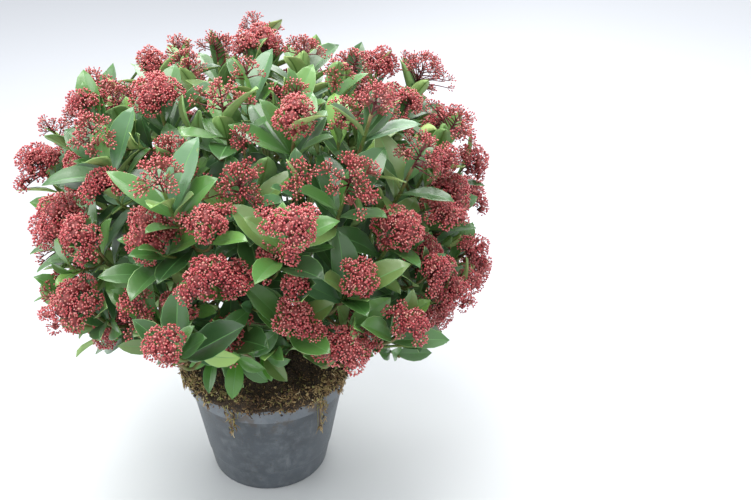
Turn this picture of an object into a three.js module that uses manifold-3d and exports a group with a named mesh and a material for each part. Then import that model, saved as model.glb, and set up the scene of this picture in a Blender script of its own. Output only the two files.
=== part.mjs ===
// A potted Japanese skimmia in winter bud: a round, many-stemmed evergreen shrub in a 24 cm nursery pot.
//
// The plant stands on the flat underside of its pot, +Z up, with the origin at the middle of that underside.
// A short main stem rises from the root ball. Boughs leave it by the golden angle, the lowest ones nearly
// level and the highest one upright, and each bough carries one mass of foliage. A mass is a stem that forks
// into shoots, and each shoot ends in a ring of leaves and, on most of them, a domed panicle of flower buds.
// Sizes are in millimetres and angles in radians, unless a name says otherwise.

import * as THREE from "three";
import { mergeVertices } from "three/addons/utils/BufferGeometryUtils.js";
import Module from "manifold-3d";

const wasm = await Module();
wasm.setup();

// ---- Driving dimensions -------------------------------------------------------------------------------

const CLEARANCE = 0.3; // between neighbouring solids
const GOLDEN_ANGLE = Math.PI * (3 - Math.sqrt(5));

const sidesRound = 30; // of the pot and the root ball, whose facets then run parallel
const pot = {
  height: 180,
  rimRadius: 120,
  lipRadius: 117, // underside of the rim band
  bandHeight: 30,
  shoulderRadius: 113, // body just under the band
  footRadius: 87,
  wall: 3,
  floor: 4,
  drains: 6,
  drainRadius: 5,
  drainRing: 62,
};

const rootBall = {
  crownHeight: 205, // flat top, where the main stem stands
  crownRadius: 24,
  shoulderHeight: 197,
  overhang: 6, // how far the moss bulges past the rim
  hem: pot.height - 2, // lower edge of the moss outside the rim
  lump: 4,
  droop: 16, // how far the moss hangs below its hem at most
};

const mainStem = {
  foot: rootBall.crownHeight + CLEARANCE,
  height: 76,
  flareRadius: 16,
  baseRadius: 11,
  tipRadius: 7.5,
  flareFade: 6, // height over which the root flare dies away
  lean: 5, // sideways shift of the tip
  bow: 3, // shift to the front, which grows with the square of the height
  sides: 9,
  steps: 8,
};

const crown = {
  middle: 405, // height of the widest level
  radius: 302,
  above: 270,
  below: 196,
  roundness: 2.5, // 2 is an ellipsoid, more is boxier
  frontDraw: 0.08, // how much narrower the crown is at the front, as a share of its radius
  frontLift: 0.97, // how much of its lower part is missing there: its underside rises to the front
  lowestSine: -0.5, // the skirt starts at this sine of latitude
  focus: new THREE.Vector3(0, 0, 242), // where the spaces of the masses meet
  floor: rootBall.crownHeight + 8, // the lowest that a leaf comes over the pot
  hem: rootBall.crownHeight - 4, // and beside it
  frontSlope: 1.1, // rise of the underside to the front, beyond the pot's rim
};

const masses = {
  count: 14,
  turn: 0.35, // azimuth of the first
  lowestSine: -0.46,
  gap: 0.8, // between the spaces of two masses
  start: 0.38, // where a mass starts, as a share of the way from the focus to the crown's outline
  fork: 0.5, // where its stem forks, as the same
};
const bough = {
  rootRadius: 4.6,
  tipRadius: 3.4,
  sides: 6,
  steps: 5,
  neck: 14, // straight stretch at its tip
  lowestRoot: 16, // height on the main stem
  highestRoot: 62,
  kneeOut: 22, // how far out it bends up, and how much higher that is than its root
  kneeUp: [7, 16],
};
const stem = { radius: 3.2, forkRadius: 2.8, sides: 5 };
const twig = { radius: 3, tipRadius: 2.4, sides: 3 };

const shoots = {
  count: 78,
  turn: 0.5,
  scatter: 1.2, // how unevenly they are dealt out, as a share of the spacing
  spacing: 90, // wanted between neighbours
  passes: 12, // of pushing them apart
  depth: [0.88, 1.03], // reach, as a share of the crown's radius
  uprightPull: 0.5, // how much a shoot turns up from straight outwards
  budless: 0.14, // share of shoots without a panicle
  sag: 0.06, // of its twig, as a share of the twig's length
};

const panicle = {
  radius: [22, 36],
  slimness: 1.6, // height as a share of the radius
  stalk: [12, 28],
  room: 1.15, // kept clear round its middle, as a share of the radius
  taper: 0.22, // how much narrower it is at its top than at its waist
  lump: 0.13,
  sunkStalk: 0.3, // how far its twig runs into it, as a share of its height
  sides: 6,
  rings: 3,
};

const leaf = {
  count: 5,
  length: [80, 112],
  shrink: 0.14, // how much shorter the highest leaf of a shoot is than its lowest
  width: 0.46, // this and the next two are shares of the length
  thickness: 0.016,
  arch: 0.1,
  fold: 0.22, // rise of its edges, as a share of the half width
  zone: 36, // length of shoot that carries the leaves
  splay: [1.45, 0.9], // from the shoot's axis: lowest leaf, highest leaf
  retries: [1, 0.82, 0.66], // splay and length tried in turn, until the leaf is clear of the rest
  sunk: 1.4,
  probe: 8, // a leaf is tested from this far along, where it is clear of its own twig
};

// ---- Small helpers ------------------------------------------------------------------------------------

const UP = new THREE.Vector3(0, 0, 1);
const mix = (a, b, t) => a + (b - a) * t;
const between = ([low, high], t) => mix(low, high, t);

// A repeatable number from 0 to 1 for each pair of whole numbers.
function chance(a, b) {
  let h = (Math.imul(a + 1, 374761393) + Math.imul(b + 1, 668265263)) | 0;
  h = Math.imul(h ^ (h >>> 13), 1274126177);
  h = Math.imul(h ^ (h >>> 15), 2246822519);
  return ((h ^ (h >>> 16)) >>> 0) / 4294967296;
}

// Moves each vertex of a geometry, in place, by a function of its position.
function reshape(geometry, move) {
  const position = geometry.getAttribute("position");
  const v = new THREE.Vector3();
  for (let i = 0; i < position.count; i++) {
    move(v.fromBufferAttribute(position, i));
    position.setXYZ(i, v.x, v.y, v.z);
  }
  return geometry;
}

// A closed three.js geometry as a solid.
function solidOf(geometry) {
  const bare = new THREE.BufferGeometry();
  bare.setAttribute("position", geometry.getAttribute("position"));
  if (geometry.index) bare.setIndex(geometry.index);
  const merged = mergeVertices(bare, 1e-3);
  const mesh = new wasm.Mesh({
    numProp: 3,
    vertProperties: merged.getAttribute("position").array,
    triVerts: new Uint32Array(merged.index.array),
  });
  return new wasm.Manifold(mesh);
}

function geometryOf(solid) {
  const mesh = solid.getMesh();
  const geometry = new THREE.BufferGeometry();
  geometry.setAttribute("position", new THREE.BufferAttribute(mesh.vertProperties, 3));
  geometry.setIndex(new THREE.BufferAttribute(mesh.triVerts, 1));
  geometry.computeVertexNormals();
  return geometry;
}

// Joins solids into one closed body: hollows that the joining seals are filled, and loose scraps dropped.
function join(solids) {
  const parts = solids.reduce((whole, piece) => whole.add(piece)).decompose();
  return parts.reduce((largest, part) => (part.volume() > largest.volume() ? part : largest));
}

// A solid of revolution about Z from [radius, height] points, listed from the axis round the outside.
function turned(profile, sides) {
  const points = profile.map(([radius, height]) => new THREE.Vector2(radius, height));
  return new THREE.LatheGeometry(points, sides).rotateX(Math.PI / 2);
}

// Two directions square to an axis.
function squareTo(axis) {
  const side = new THREE.Vector3().crossVectors(axis, UP);
  if (side.lengthSq() < 1e-4) side.set(1, 0, 0);
  side.normalize();
  return [side, new THREE.Vector3().crossVectors(side, axis).normalize()];
}

// A tapering limb through a row of points: a closed cylinder bent to it.
function limb(points, rootRadius, tipRadius, sides) {
  const steps = points.length - 1;
  const [across] = squareTo(points[steps].clone().sub(points[0]).normalize());
  const cylinder = new THREE.CylinderGeometry(1, 1, steps, sides, steps);
  return reshape(cylinder, (v) => {
    const step = Math.round(v.y + steps / 2);
    const radius = mix(rootRadius, tipRadius, step / steps);
    const ahead = points[Math.min(step + 1, steps)];
    const along = ahead.clone().sub(points[Math.max(step - 1, 0)]).normalize();
    const out = new THREE.Vector3().crossVectors(across, along).normalize();
    const side = new THREE.Vector3().crossVectors(along, out);
    const { x, z } = v;
    v.copy(points[step]).addScaledVector(side, x * radius).addScaledVector(out, z * radius);
  });
}

// ---- Pot ----------------------------------------------------------------------------------------------

function nurseryPot() {
  const bandFoot = pot.height - pot.bandHeight;
  const profile = [
    [0, 0],
    [pot.footRadius, 0],
    [pot.shoulderRadius, bandFoot],
    [pot.lipRadius, bandFoot],
    [pot.rimRadius, pot.height],
    [pot.rimRadius - pot.wall, pot.height],
    [pot.shoulderRadius - pot.wall, bandFoot],
    [pot.footRadius - pot.wall, pot.floor],
    [0, pot.floor],
  ];
  let solid = solidOf(turned(profile, sidesRound));
  for (let i = 0; i < pot.drains; i++) {
    const angle = (2 * Math.PI * i) / pot.drains;
    const hole = new THREE.CylinderGeometry(pot.drainRadius, pot.drainRadius, 4 * pot.floor, 6);
    hole.rotateX(Math.PI / 2).translate(pot.drainRing * Math.cos(angle), pot.drainRing * Math.sin(angle), 0);
    solid = solid.subtract(solidOf(hole));
  }
  return solid;
}

// ---- Root ball ----------------------------------------------------------------------------------------

// Peat that fills the pot, under a lumpy cap of moss that bulges over the rim and hangs down it in places.
function rootBallSolid() {
  const inside = pot.wall + CLEARANCE;
  const bandFoot = pot.height - pot.bandHeight;
  const edge = pot.rimRadius + rootBall.overhang;
  const overRim = pot.rimRadius + 2 * CLEARANCE;
  const profile = [
    [0, pot.floor + CLEARANCE],
    [pot.footRadius - inside, pot.floor + CLEARANCE],
    [pot.shoulderRadius - inside, bandFoot],
    [pot.rimRadius - inside, pot.height + CLEARANCE],
    [overRim, pot.height + CLEARANCE],
    [overRim, rootBall.hem],
    [edge - 2, rootBall.hem - 1],
    [edge, pot.height + 5],
    [edge - 8, rootBall.shoulderHeight - 2],
    [mix(edge, rootBall.crownRadius, 0.4), rootBall.shoulderHeight + 1],
    [rootBall.crownRadius, rootBall.crownHeight],
    [0, rootBall.crownHeight],
  ];
  const ball = turned(profile, sidesRound);
  reshape(ball, (v) => {
    const radius = Math.hypot(v.x, v.y);
    const angle = Math.atan2(v.y, v.x);
    const wave = Math.sin(5 * angle + 0.06 * radius) * Math.cos(3 * angle - 0.09 * radius + 1);
    const lumps = wave + 0.5 * Math.sin(11 * angle + 2);
    const onTop = v.z > pot.height + 1 && radius > rootBall.crownRadius + 1;
    const outside = v.z <= pot.height && radius > pot.rimRadius;
    if (onTop) v.z += rootBall.lump * lumps;
    if (outside) v.z -= rootBall.droop * Math.max(0, wave);
    if (radius > edge - 3) {
      const bulge = 1 + (0.3 * rootBall.overhang * lumps) / radius;
      v.x *= bulge;
      v.y *= bulge;
    }
  });
  return solidOf(ball);
}

// ---- Main stem ----------------------------------------------------------------------------------------

function stemCentre(height) {
  const share = height / mainStem.height;
  return new THREE.Vector3(mainStem.lean * share, -mainStem.bow * share * share, mainStem.foot + height);
}

function stemRadius(height) {
  const share = height / mainStem.height;
  const flare = (mainStem.flareRadius - mainStem.baseRadius) * Math.exp(-height / mainStem.flareFade);
  return mix(mainStem.baseRadius, mainStem.tipRadius, share) + flare;
}

// The main stem from its flat cut to its tip, or the same grown sideways and up to cut the boughs with.
// Its steps are closer together in the flare, low down.
function mainStemSolid(grow) {
  const cylinder = new THREE.CylinderGeometry(1, 1, 1, mainStem.sides, mainStem.steps);
  cylinder.rotateX(Math.PI / 2).translate(0, 0, 0.5);
  reshape(cylinder, (v) => {
    const height = mainStem.height * v.z ** 1.4;
    const radius = stemRadius(height) + grow;
    const centre = stemCentre(height);
    v.set(centre.x + v.x * radius, centre.y + v.y * radius, centre.z + grow * v.z);
  });
  return solidOf(cylinder);
}

// ---- Crown --------------------------------------------------------------------------------------------

// How far an azimuth faces the front, from 0 at the sides and behind to 1.
const frontShare = (azimuth) => Math.max(0, -Math.sin(azimuth));

// A point on the crown's outline, from its azimuth and the sine of its latitude.
function crownPoint(azimuth, sine, depth = 1) {
  const front = frontShare(azimuth);
  const power = 2 / crown.roundness;
  const out = crown.radius * (1 - crown.frontDraw * front) * Math.sqrt(1 - sine * sine) ** power;
  const below = crown.below * (1 - crown.frontLift * front);
  const rise = Math.abs(sine) ** power * (sine < 0 ? -below : crown.above);
  const point = new THREE.Vector3(out * Math.cos(azimuth), out * Math.sin(azimuth), crown.middle + rise);
  return point.sub(crown.focus).multiplyScalar(depth).add(crown.focus);
}

// Evenly spread places on the crown: neighbours a golden angle apart, from the skirt to the top.
function crownPlace(index, count, lowestSine, turn, scatter, depth) {
  const share = (index + 0.5 + scatter * (chance(index, 1) - 0.5)) / (count - 0.5);
  const sine = mix(lowestSine, 1, THREE.MathUtils.clamp(share, 0, 1));
  const azimuth = turn + index * GOLDEN_ANGLE + (scatter * (chance(index, 2) - 0.5)) / Math.sqrt(count);
  return crownPoint(azimuth, sine, depth);
}

const massPlaces = [];
for (let i = 0; i < masses.count; i++) {
  massPlaces.push(crownPlace(i, masses.count, masses.lowestSine, masses.turn, 0, 1));
}
const massDirections = massPlaces.map((place) => place.clone().sub(crown.focus).normalize());

// The cone of space that is nearer one direction than any of the others, as the normals of its walls.
function wallsOf(own, directions) {
  return directions.filter((other) => other !== own).map((other) => own.clone().sub(other).normalize());
}

const walls = massDirections.map((own) => wallsOf(own, massDirections));

// Moves a point, in place, until a ball round it lies inside the space of a mass.
function keepInside(point, mass, radius) {
  for (let pass = 0; pass < 4; pass++) {
    for (const wall of walls[mass]) {
      const room = wall.dot(point.clone().sub(crown.focus)) - masses.gap / 2;
      if (room < radius) point.addScaledVector(wall, radius - room);
    }
  }
  return point;
}

// The crown's underside: level over the pot and a little lower beside it, but rising to the front.
function undersideAt(x, y) {
  const beyond = Math.hypot(x, y) - pot.rimRadius - rootBall.overhang - 4;
  if (beyond < 0) return crown.floor;
  return crown.hem + crown.frontSlope * frontShare(Math.atan2(y, x)) * beyond;
}

// Whether a whole geometry lies in the space of its mass and above the crown's underside.
function fits(geometry, mass) {
  const position = geometry.getAttribute("position");
  const v = new THREE.Vector3();
  for (let i = 0; i < position.count; i++) {
    v.fromBufferAttribute(position, i);
    if (v.z < undersideAt(v.x, v.y)) return false;
    v.sub(crown.focus);
    if (walls[mass].some((wall) => wall.dot(v) < masses.gap / 2)) return false;
  }
  return true;
}

// ---- Boughs -------------------------------------------------------------------------------------------

const boughTips = massPlaces.map((place) => crown.focus.clone().lerp(place, masses.start));

// Bough i leaves the main stem below the next one up and ends where its mass of foliage starts.
function boughSolid(i) {
  const last = i === masses.count - 1;
  const share = i / (masses.count - 1);
  const rootHeight = last ? mainStem.height - 3 : mix(bough.lowestRoot, bough.highestRoot, share);
  const root = stemCentre(rootHeight);
  const tip = boughTips[i];
  const neck = tip.clone().addScaledVector(massDirections[i], -bough.neck);
  const outward = massDirections[i].clone().setZ(0).normalize();
  const knee = root.clone().addScaledVector(UP, last ? bough.kneeOut : between(bough.kneeUp, share));
  if (!last) knee.addScaledVector(outward, bough.kneeOut);
  const curve = new THREE.CatmullRomCurve3([root, knee, knee.clone().lerp(neck, 0.5), neck]);
  const points = [...curve.getSpacedPoints(bough.steps - 1), tip];
  const solid = solidOf(limb(points, bough.rootRadius, bough.tipRadius, bough.sides));
  return solid.subtract(mainStemSolid(CLEARANCE));
}

// ---- Foliage ------------------------------------------------------------------------------------------

// A leaf along an axis: a flattened octahedron, folded up along its midrib and arched towards its tip.
function leafGeometry(root, axis, face, length) {
  const side = new THREE.Vector3().crossVectors(face, axis).normalize();
  return reshape(new THREE.OctahedronGeometry(1), (v) => {
    const along = ((v.x + 1) / 2) * length;
    const across = (v.y * leaf.width * length) / 2;
    const fold = leaf.fold * Math.abs(across);
    const arch = leaf.arch * length * Math.sin((Math.PI * (v.x + 1)) / 2);
    const height = (v.z * leaf.thickness * length) / 2 + fold + arch;
    v.copy(root).addScaledVector(axis, along - leaf.sunk).addScaledVector(side, across);
    v.addScaledVector(face, height);
  });
}

// A panicle of buds: an egg that tapers to its top, with a lumpy outline.
function panicleGeometry(foot, axis, radius, height, seed) {
  const [side, other] = squareTo(axis);
  const ball = new THREE.SphereGeometry(1, panicle.sides, panicle.rings);
  return reshape(ball, (v) => {
    const angle = Math.atan2(v.z, v.x);
    const lump = 1 + panicle.lump * Math.sin(3 * angle + 2.3 * v.y + seed);
    const width = radius * (1 - panicle.taper * v.y) * lump;
    const { x, y, z } = v;
    v.copy(foot).addScaledVector(axis, ((y + 1) / 2) * height);
    v.addScaledVector(side, x * width).addScaledVector(other, z * width);
  });
}

// The size of shoot i, the mass it belongs to, and a first place for the middle of its panicle.
function shootStart(index) {
  const depth = between(shoots.depth, chance(index, 3));
  const tip = crownPlace(index, shoots.count, crown.lowestSine, shoots.turn, shoots.scatter, depth);
  const outward = tip.clone().sub(crown.focus).normalize();
  const nearness = massDirections.map((direction) => direction.dot(outward));
  const mass = nearness.indexOf(Math.max(...nearness));
  const radius = between(panicle.radius, chance(index, 4));
  const height = panicle.slimness * radius;
  const middle = tip.addScaledVector(outward, -height / 2);
  return { index, mass, radius, height, middle, budless: chance(index, 6) < shoots.budless };
}

// Pushes the shoots' middles apart, in place, until they fill the spaces of their masses evenly. Each stays
// above the crown's underside, unless its mass lies lower.
function spreadOut(starts) {
  for (let pass = 0; pass < shoots.passes; pass++) {
    for (const one of starts) {
      for (const other of starts) {
        const apart = one.middle.clone().sub(other.middle);
        const short = shoots.spacing - apart.length();
        if (other === one || short < 0) continue;
        one.middle.addScaledVector(apart.normalize(), short / 4);
      }
      const { x, y, z } = one.middle;
      one.middle.setZ(Math.max(z, undersideAt(x, y) + one.height / 2));
      keepInside(one.middle, one.mass, panicle.room * one.radius);
    }
  }
}

// Where a shoot leaves its fork, which way it points and where it ends.
function shootPlan({ index, mass, radius, height, middle, budless }) {
  const stalk = between(panicle.stalk, chance(index, 5));
  const outward = middle.clone().sub(crown.focus).normalize();
  const axis = outward.addScaledVector(UP, shoots.uprightPull).normalize();
  const top = middle.clone().addScaledVector(axis, height / 2);
  const collar = keepInside(top.clone().addScaledVector(axis, -height - stalk), mass, twig.radius + 2);
  const foot = keepInside(collar.clone().addScaledVector(axis, -leaf.zone), mass, twig.radius + 2);
  return { index, mass, axis, top, collar, foot, radius, height, budless };
}

// The twig of a shoot, from the fork of its mass to its collar or into its panicle, and the panicle.
function shootSolids({ index, mass, axis, top, collar, foot, radius, height, budless }, fork) {
  const panicleFoot = top.clone().addScaledVector(axis, -height);
  const end = budless ? collar : panicleFoot.clone().addScaledVector(axis, panicle.sunkStalk * height);
  const low = fork.clone().lerp(foot, 0.5).addScaledVector(UP, -shoots.sag * fork.distanceTo(foot));
  keepInside(low, mass, twig.radius + 1);
  const wood = solidOf(limb([fork, low, foot, end], twig.radius, twig.tipRadius, twig.sides));
  return budless ? [wood] : [wood, solidOf(panicleGeometry(panicleFoot, axis, radius, height, index))];
}

// One leaf of a shoot, tried at smaller splays and lengths until it is clear of the body of the mass so far.
function leafSolid({ index, mass, axis, collar, foot }, k, body) {
  const [side, other] = squareTo(axis);
  const share = k / (leaf.count - 1);
  const root = foot.clone().lerp(collar, mix(0.05, 0.97, share));
  const turn = k * GOLDEN_ANGLE + 2 * Math.PI * chance(index, 7);
  const around = side.clone().multiplyScalar(Math.cos(turn)).addScaledVector(other, Math.sin(turn));
  for (const retry of leaf.retries) {
    const length = between(leaf.length, chance(index, 10 + k)) * (1 - leaf.shrink * share) * retry;
    const splay = between(leaf.splay, share) * retry;
    const along = axis.clone().multiplyScalar(Math.cos(splay)).addScaledVector(around, Math.sin(splay));
    const face = axis.clone().multiplyScalar(Math.sin(splay)).addScaledVector(around, -Math.cos(splay));
    const blade = leafGeometry(root, along, face, length);
    const clear = root.clone().addScaledVector(along, leaf.probe);
    const outerPart = solidOf(leafGeometry(clear, along, face, length - leaf.probe));
    if (fits(blade, mass) && body.intersect(outerPart).isEmpty()) return solidOf(blade);
  }
  return null;
}

const starts = [];
for (let i = 0; i < shoots.count; i++) starts.push(shootStart(i));
spreadOut(starts);
const plans = starts.map(shootPlan);

// The mass starts just past its bough's tip with one stem, which forks into the mass's shoots.
function foliageSolid(mass) {
  const fork = crown.focus.clone().lerp(massPlaces[mass], masses.fork);
  const start = boughTips[mass].clone().addScaledVector(massDirections[mass], CLEARANCE);
  const past = fork.clone().addScaledVector(massDirections[mass], stem.radius);
  const own = plans.filter((plan) => plan.mass === mass);
  const woodAndBuds = own.flatMap((plan) => shootSolids(plan, fork));
  let body = join([solidOf(limb([start, past], stem.radius, stem.forkRadius, stem.sides)), ...woodAndBuds]);
  for (let k = 0; k < leaf.count; k++) {
    for (const plan of own) {
      const blade = leafSolid(plan, k, body);
      if (blade) body = body.add(blade);
    }
  }
  return join([body]);
}

// ---- Assembly -----------------------------------------------------------------------------------------

const plastic = new THREE.MeshStandardMaterial({ name: "pot_plastic", color: 0x59626a, roughness: 0.55 });
const peat = new THREE.MeshStandardMaterial({ name: "peat_and_moss", color: 0x4a3c28, roughness: 1 });
const bark = new THREE.MeshStandardMaterial({ name: "bark", color: 0x6b6a3d, roughness: 0.85 });
const foliage = new THREE.MeshStandardMaterial({ name: "foliage", color: 0x3c6b34, roughness: 0.4 });
for (const material of [plastic, peat, bark, foliage]) material.metalness = 0;

const plant = new THREE.Group();
plant.name = "potted_skimmia";

function addNode(name, solid, material) {
  const node = new THREE.Mesh(geometryOf(solid), material);
  node.name = name;
  plant.add(node);
}

addNode("pot", nurseryPot(), plastic);
addNode("root_ball", rootBallSolid(), peat);
addNode("main_stem", mainStemSolid(0), bark);
for (let i = 0; i < masses.count; i++) {
  addNode(`bough_${i + 1}`, boughSolid(i), bark);
  addNode(`foliage_${i + 1}`, foliageSolid(i), foliage);
}

export default plant;
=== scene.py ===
"""A potted Japanese skimmia in winter bud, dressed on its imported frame. Metres and radians, +Z up."""

import math

import bpy
import numpy as np
from mathutils import Matrix, Vector, noise


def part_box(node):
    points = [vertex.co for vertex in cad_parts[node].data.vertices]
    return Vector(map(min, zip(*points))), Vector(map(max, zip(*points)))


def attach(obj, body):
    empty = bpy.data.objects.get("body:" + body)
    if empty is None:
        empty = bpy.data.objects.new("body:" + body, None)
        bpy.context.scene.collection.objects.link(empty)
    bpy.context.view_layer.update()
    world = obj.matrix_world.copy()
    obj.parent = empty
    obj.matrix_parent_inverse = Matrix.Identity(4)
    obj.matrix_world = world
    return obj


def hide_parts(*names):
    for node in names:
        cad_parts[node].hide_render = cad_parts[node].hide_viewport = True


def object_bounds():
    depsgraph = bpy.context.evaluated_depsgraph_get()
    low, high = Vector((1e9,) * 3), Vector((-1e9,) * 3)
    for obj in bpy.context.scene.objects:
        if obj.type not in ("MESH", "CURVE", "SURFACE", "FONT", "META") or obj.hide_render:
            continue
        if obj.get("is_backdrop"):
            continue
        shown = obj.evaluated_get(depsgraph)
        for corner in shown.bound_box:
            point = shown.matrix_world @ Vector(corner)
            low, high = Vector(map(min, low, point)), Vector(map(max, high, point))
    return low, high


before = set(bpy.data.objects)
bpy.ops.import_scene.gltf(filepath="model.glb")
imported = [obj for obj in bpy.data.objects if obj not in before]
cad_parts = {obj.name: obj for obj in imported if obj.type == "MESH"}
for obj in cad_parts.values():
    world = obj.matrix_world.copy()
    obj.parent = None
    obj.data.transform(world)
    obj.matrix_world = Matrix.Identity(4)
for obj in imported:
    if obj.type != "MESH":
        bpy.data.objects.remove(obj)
cad_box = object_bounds()

# ---- Camera ---------------------------------------------------------------------------------------------
# A hand-held camera a metre in front of the plant, above its crown and a little to its right. It looks
# straight ahead and down, so that the plant stands in the left half of the picture.

camera_place = Vector((0.154, -1.040, 0.948))
camera_dip = math.radians(29.28)
camera_roll = math.radians(1.86)

camera = bpy.data.objects.new("camera", bpy.data.cameras.new("camera"))
bpy.context.scene.collection.objects.link(camera)
camera.data.sensor_width = 36
camera.data.lens = 41.7
look = Matrix.Rotation(math.pi / 2 - camera_dip, 4, "X") @ Matrix.Rotation(camera_roll, 4, "Z")
camera.matrix_world = Matrix.Translation(camera_place) @ look
bpy.context.scene.camera = camera

# ---- Studio ---------------------------------------------------------------------------------------------
# A wide pale floor and soft daylight: a bright sky all round, a large window of light above the crown, one
# behind it, a weaker one on the left and one over the far floor. Every finish is a small tree of nodes.


class Wire:
    """A socket that carries a value. Sums of wires and numbers add Math nodes to their finish."""

    def __init__(self, finish, socket):
        self.finish = finish
        self.socket = socket

    def sum(self, operation, *values):
        return self.finish.node("Math", {"operation": operation}, dict(enumerate(values)))

    def __add__(self, other):
        return self.sum("ADD", self, other)

    def __rsub__(self, other):
        return self.sum("SUBTRACT", other, self)

    def __mul__(self, other):
        return self.sum("MULTIPLY", self, other)

    __radd__ = __add__
    __rmul__ = __mul__


class Finish:
    """A material whose nodes come from one method."""

    def __init__(self, name):
        self.material = bpy.data.materials.new(name)
        self.material.use_nodes = True
        self.tree = self.material.node_tree
        self.tree.nodes.clear()

    def node(self, kind, settings=None, inputs=None, output=0):
        """Adds a node, sets it up, feeds its sockets with values or wires, and returns one output."""
        node = self.tree.nodes.new("ShaderNode" + kind)
        for key, value in (settings or {}).items():
            setattr(node, key, value)
        for key, value in (inputs or {}).items():
            if isinstance(value, Wire):
                self.tree.links.new(value.socket, node.inputs[key])
            else:
                node.inputs[key].default_value = value
        return Wire(self, node.outputs[output]) if len(node.outputs) else None

    def place(self):
        return self.node("TexCoord", output="Object")

    def along(self, axis):
        """One coordinate of the surface: 0, 1 or 2 for x, y or z."""
        return self.node("SeparateXYZ", {}, {0: self.place()}, axis)

    def noise(self, scale, detail=4, roughness=0.55, stretch=(1, 1, 1)):
        """A value from 0 to 1 that wanders over the surface, scale times in a metre."""
        spread = self.node("VectorMath", {"operation": "MULTIPLY"}, {0: self.place(), 1: stretch})
        inputs = {"Vector": spread, "Scale": scale, "Detail": detail, "Roughness": roughness}
        return self.node("TexNoise", {}, inputs)

    def step(self, value, low, high):
        """0 below low, 1 above high, and a smooth rise between them."""
        settings = {"interpolation_type": "SMOOTHSTEP"}
        return self.node("MapRange", settings, {"Value": value, "From Min": low, "From Max": high})

    def blend(self, share, one, other):
        """Colour one, turning to the other as the share goes from 0 to 1."""
        return self.node("Mix", {"data_type": "RGBA"}, {0: share, 6: one, 7: other}, 2)

    def relief(self, height, depth, strength=1.0):
        return self.node("Bump", {}, {"Height": height, "Distance": depth, "Strength": strength})

    def surface(self, **inputs):
        """Ends the tree with one Principled shader, and returns the material."""
        sockets = {key.replace("_", " "): value for key, value in inputs.items()}
        shader = self.node("BsdfPrincipled", {}, sockets)
        self.node("OutputMaterial", {}, {"Surface": shader})
        return self.material


def paint(red, green, blue):
    """A colour by its screen values from 0 to 255, as the shader takes it."""
    channels = [value / 255 for value in (red, green, blue)]
    return (*[c / 12.92 if c < 0.04 else ((c + 0.055) / 1.055) ** 2.4 for c in channels], 1)


def plain_finishes(name, colours, **surface):
    """Finishes that differ only in colour, numbered from 1."""
    tones = enumerate(colours, 1)
    return [Finish(f"{name}_{i}").surface(Base_Color=paint(*colour), **surface) for i, colour in tones]


def floor_finish():
    """A white table, with a cooler grey behind the pot, painted darker to the left as painted shade and
    clearing to the right.
    """
    floor = Finish("white_table")
    # The grey is painted darker to the left: painted shade on the floor.
    grey = floor.blend(floor.step(floor.along(0), -0.6, 1.0), paint(169, 172, 177), paint(191, 194, 199))
    tint = floor.blend(floor.step(floor.along(1), 0.05, 0.45), paint(193, 196, 198), grey)
    return floor.surface(Base_Color=tint, Roughness=0.6)


def window(name, place, aim, width, height, power, colour):
    """A soft panel of light in one place, aimed at another."""
    light = bpy.data.lights.new(name, "AREA")
    light.shape = "RECTANGLE"
    light.size = width
    light.size_y = height
    light.energy = power
    light.color = colour
    lamp = bpy.data.objects.new(name, light)
    lamp.matrix_world = Matrix.Translation(place)
    lamp.rotation_mode = "QUATERNION"
    lamp.rotation_quaternion = (Vector(aim) - Vector(place)).to_track_quat("-Z", "Y")
    bpy.context.scene.collection.objects.link(lamp)


crown_middle = (0, 0, 0.42)
floor_reach = 9
floor_gap = 0.0002  # the floor lies this much under the pot's foot

bpy.ops.mesh.primitive_circle_add(vertices=96, radius=floor_reach, fill_type="TRIFAN")
floor = bpy.context.object
floor.name = "floor"
floor.location.z = -floor_gap
floor.data.materials.append(floor_finish())
floor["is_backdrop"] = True

window("window_above", (-0.30, -0.25, 2.2), crown_middle, 1.5, 1.3, 47, (1.0, 0.99, 0.96))
window("window_left", (-2.0, -0.6, 1.3), crown_middle, 1.2, 1.2, 18, (0.96, 0.98, 1.0))
window("window_facing", (-0.1, 1.7, 1.9), crown_middle, 2.2, 1.2, 42, (1.0, 1.0, 1.0))
window("window_behind", (0.2, 3.1, 2.6), (0.2, 3.1, 0), 4.0, 2.2, 26, (0.98, 0.99, 1.0))

world = bpy.data.worlds.new("daylight")
world.use_nodes = True
sky = world.node_tree.nodes["Background"]
sky.inputs["Color"].default_value = (0.92, 0.93, 0.95, 1)
sky.inputs["Strength"].default_value = 1.34
bpy.context.scene.world = world
bpy.context.scene.view_settings.view_transform = "Standard"

# ---- Nursery pot ----------------------------------------------------------------------------------------
# A 24 cm grower's pot, injection moulded in slate grey polypropylene: a tapering body under a rim band with
# a rolled lip, a shallow recess in its foot and six drain holes. It is dusty and smeared with peat, and its
# body is painted darker than the band as painted shade under the rim.


def unit(vectors):
    return vectors / np.maximum(np.linalg.norm(vectors, axis=-1, keepdims=True), 1e-12)


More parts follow.
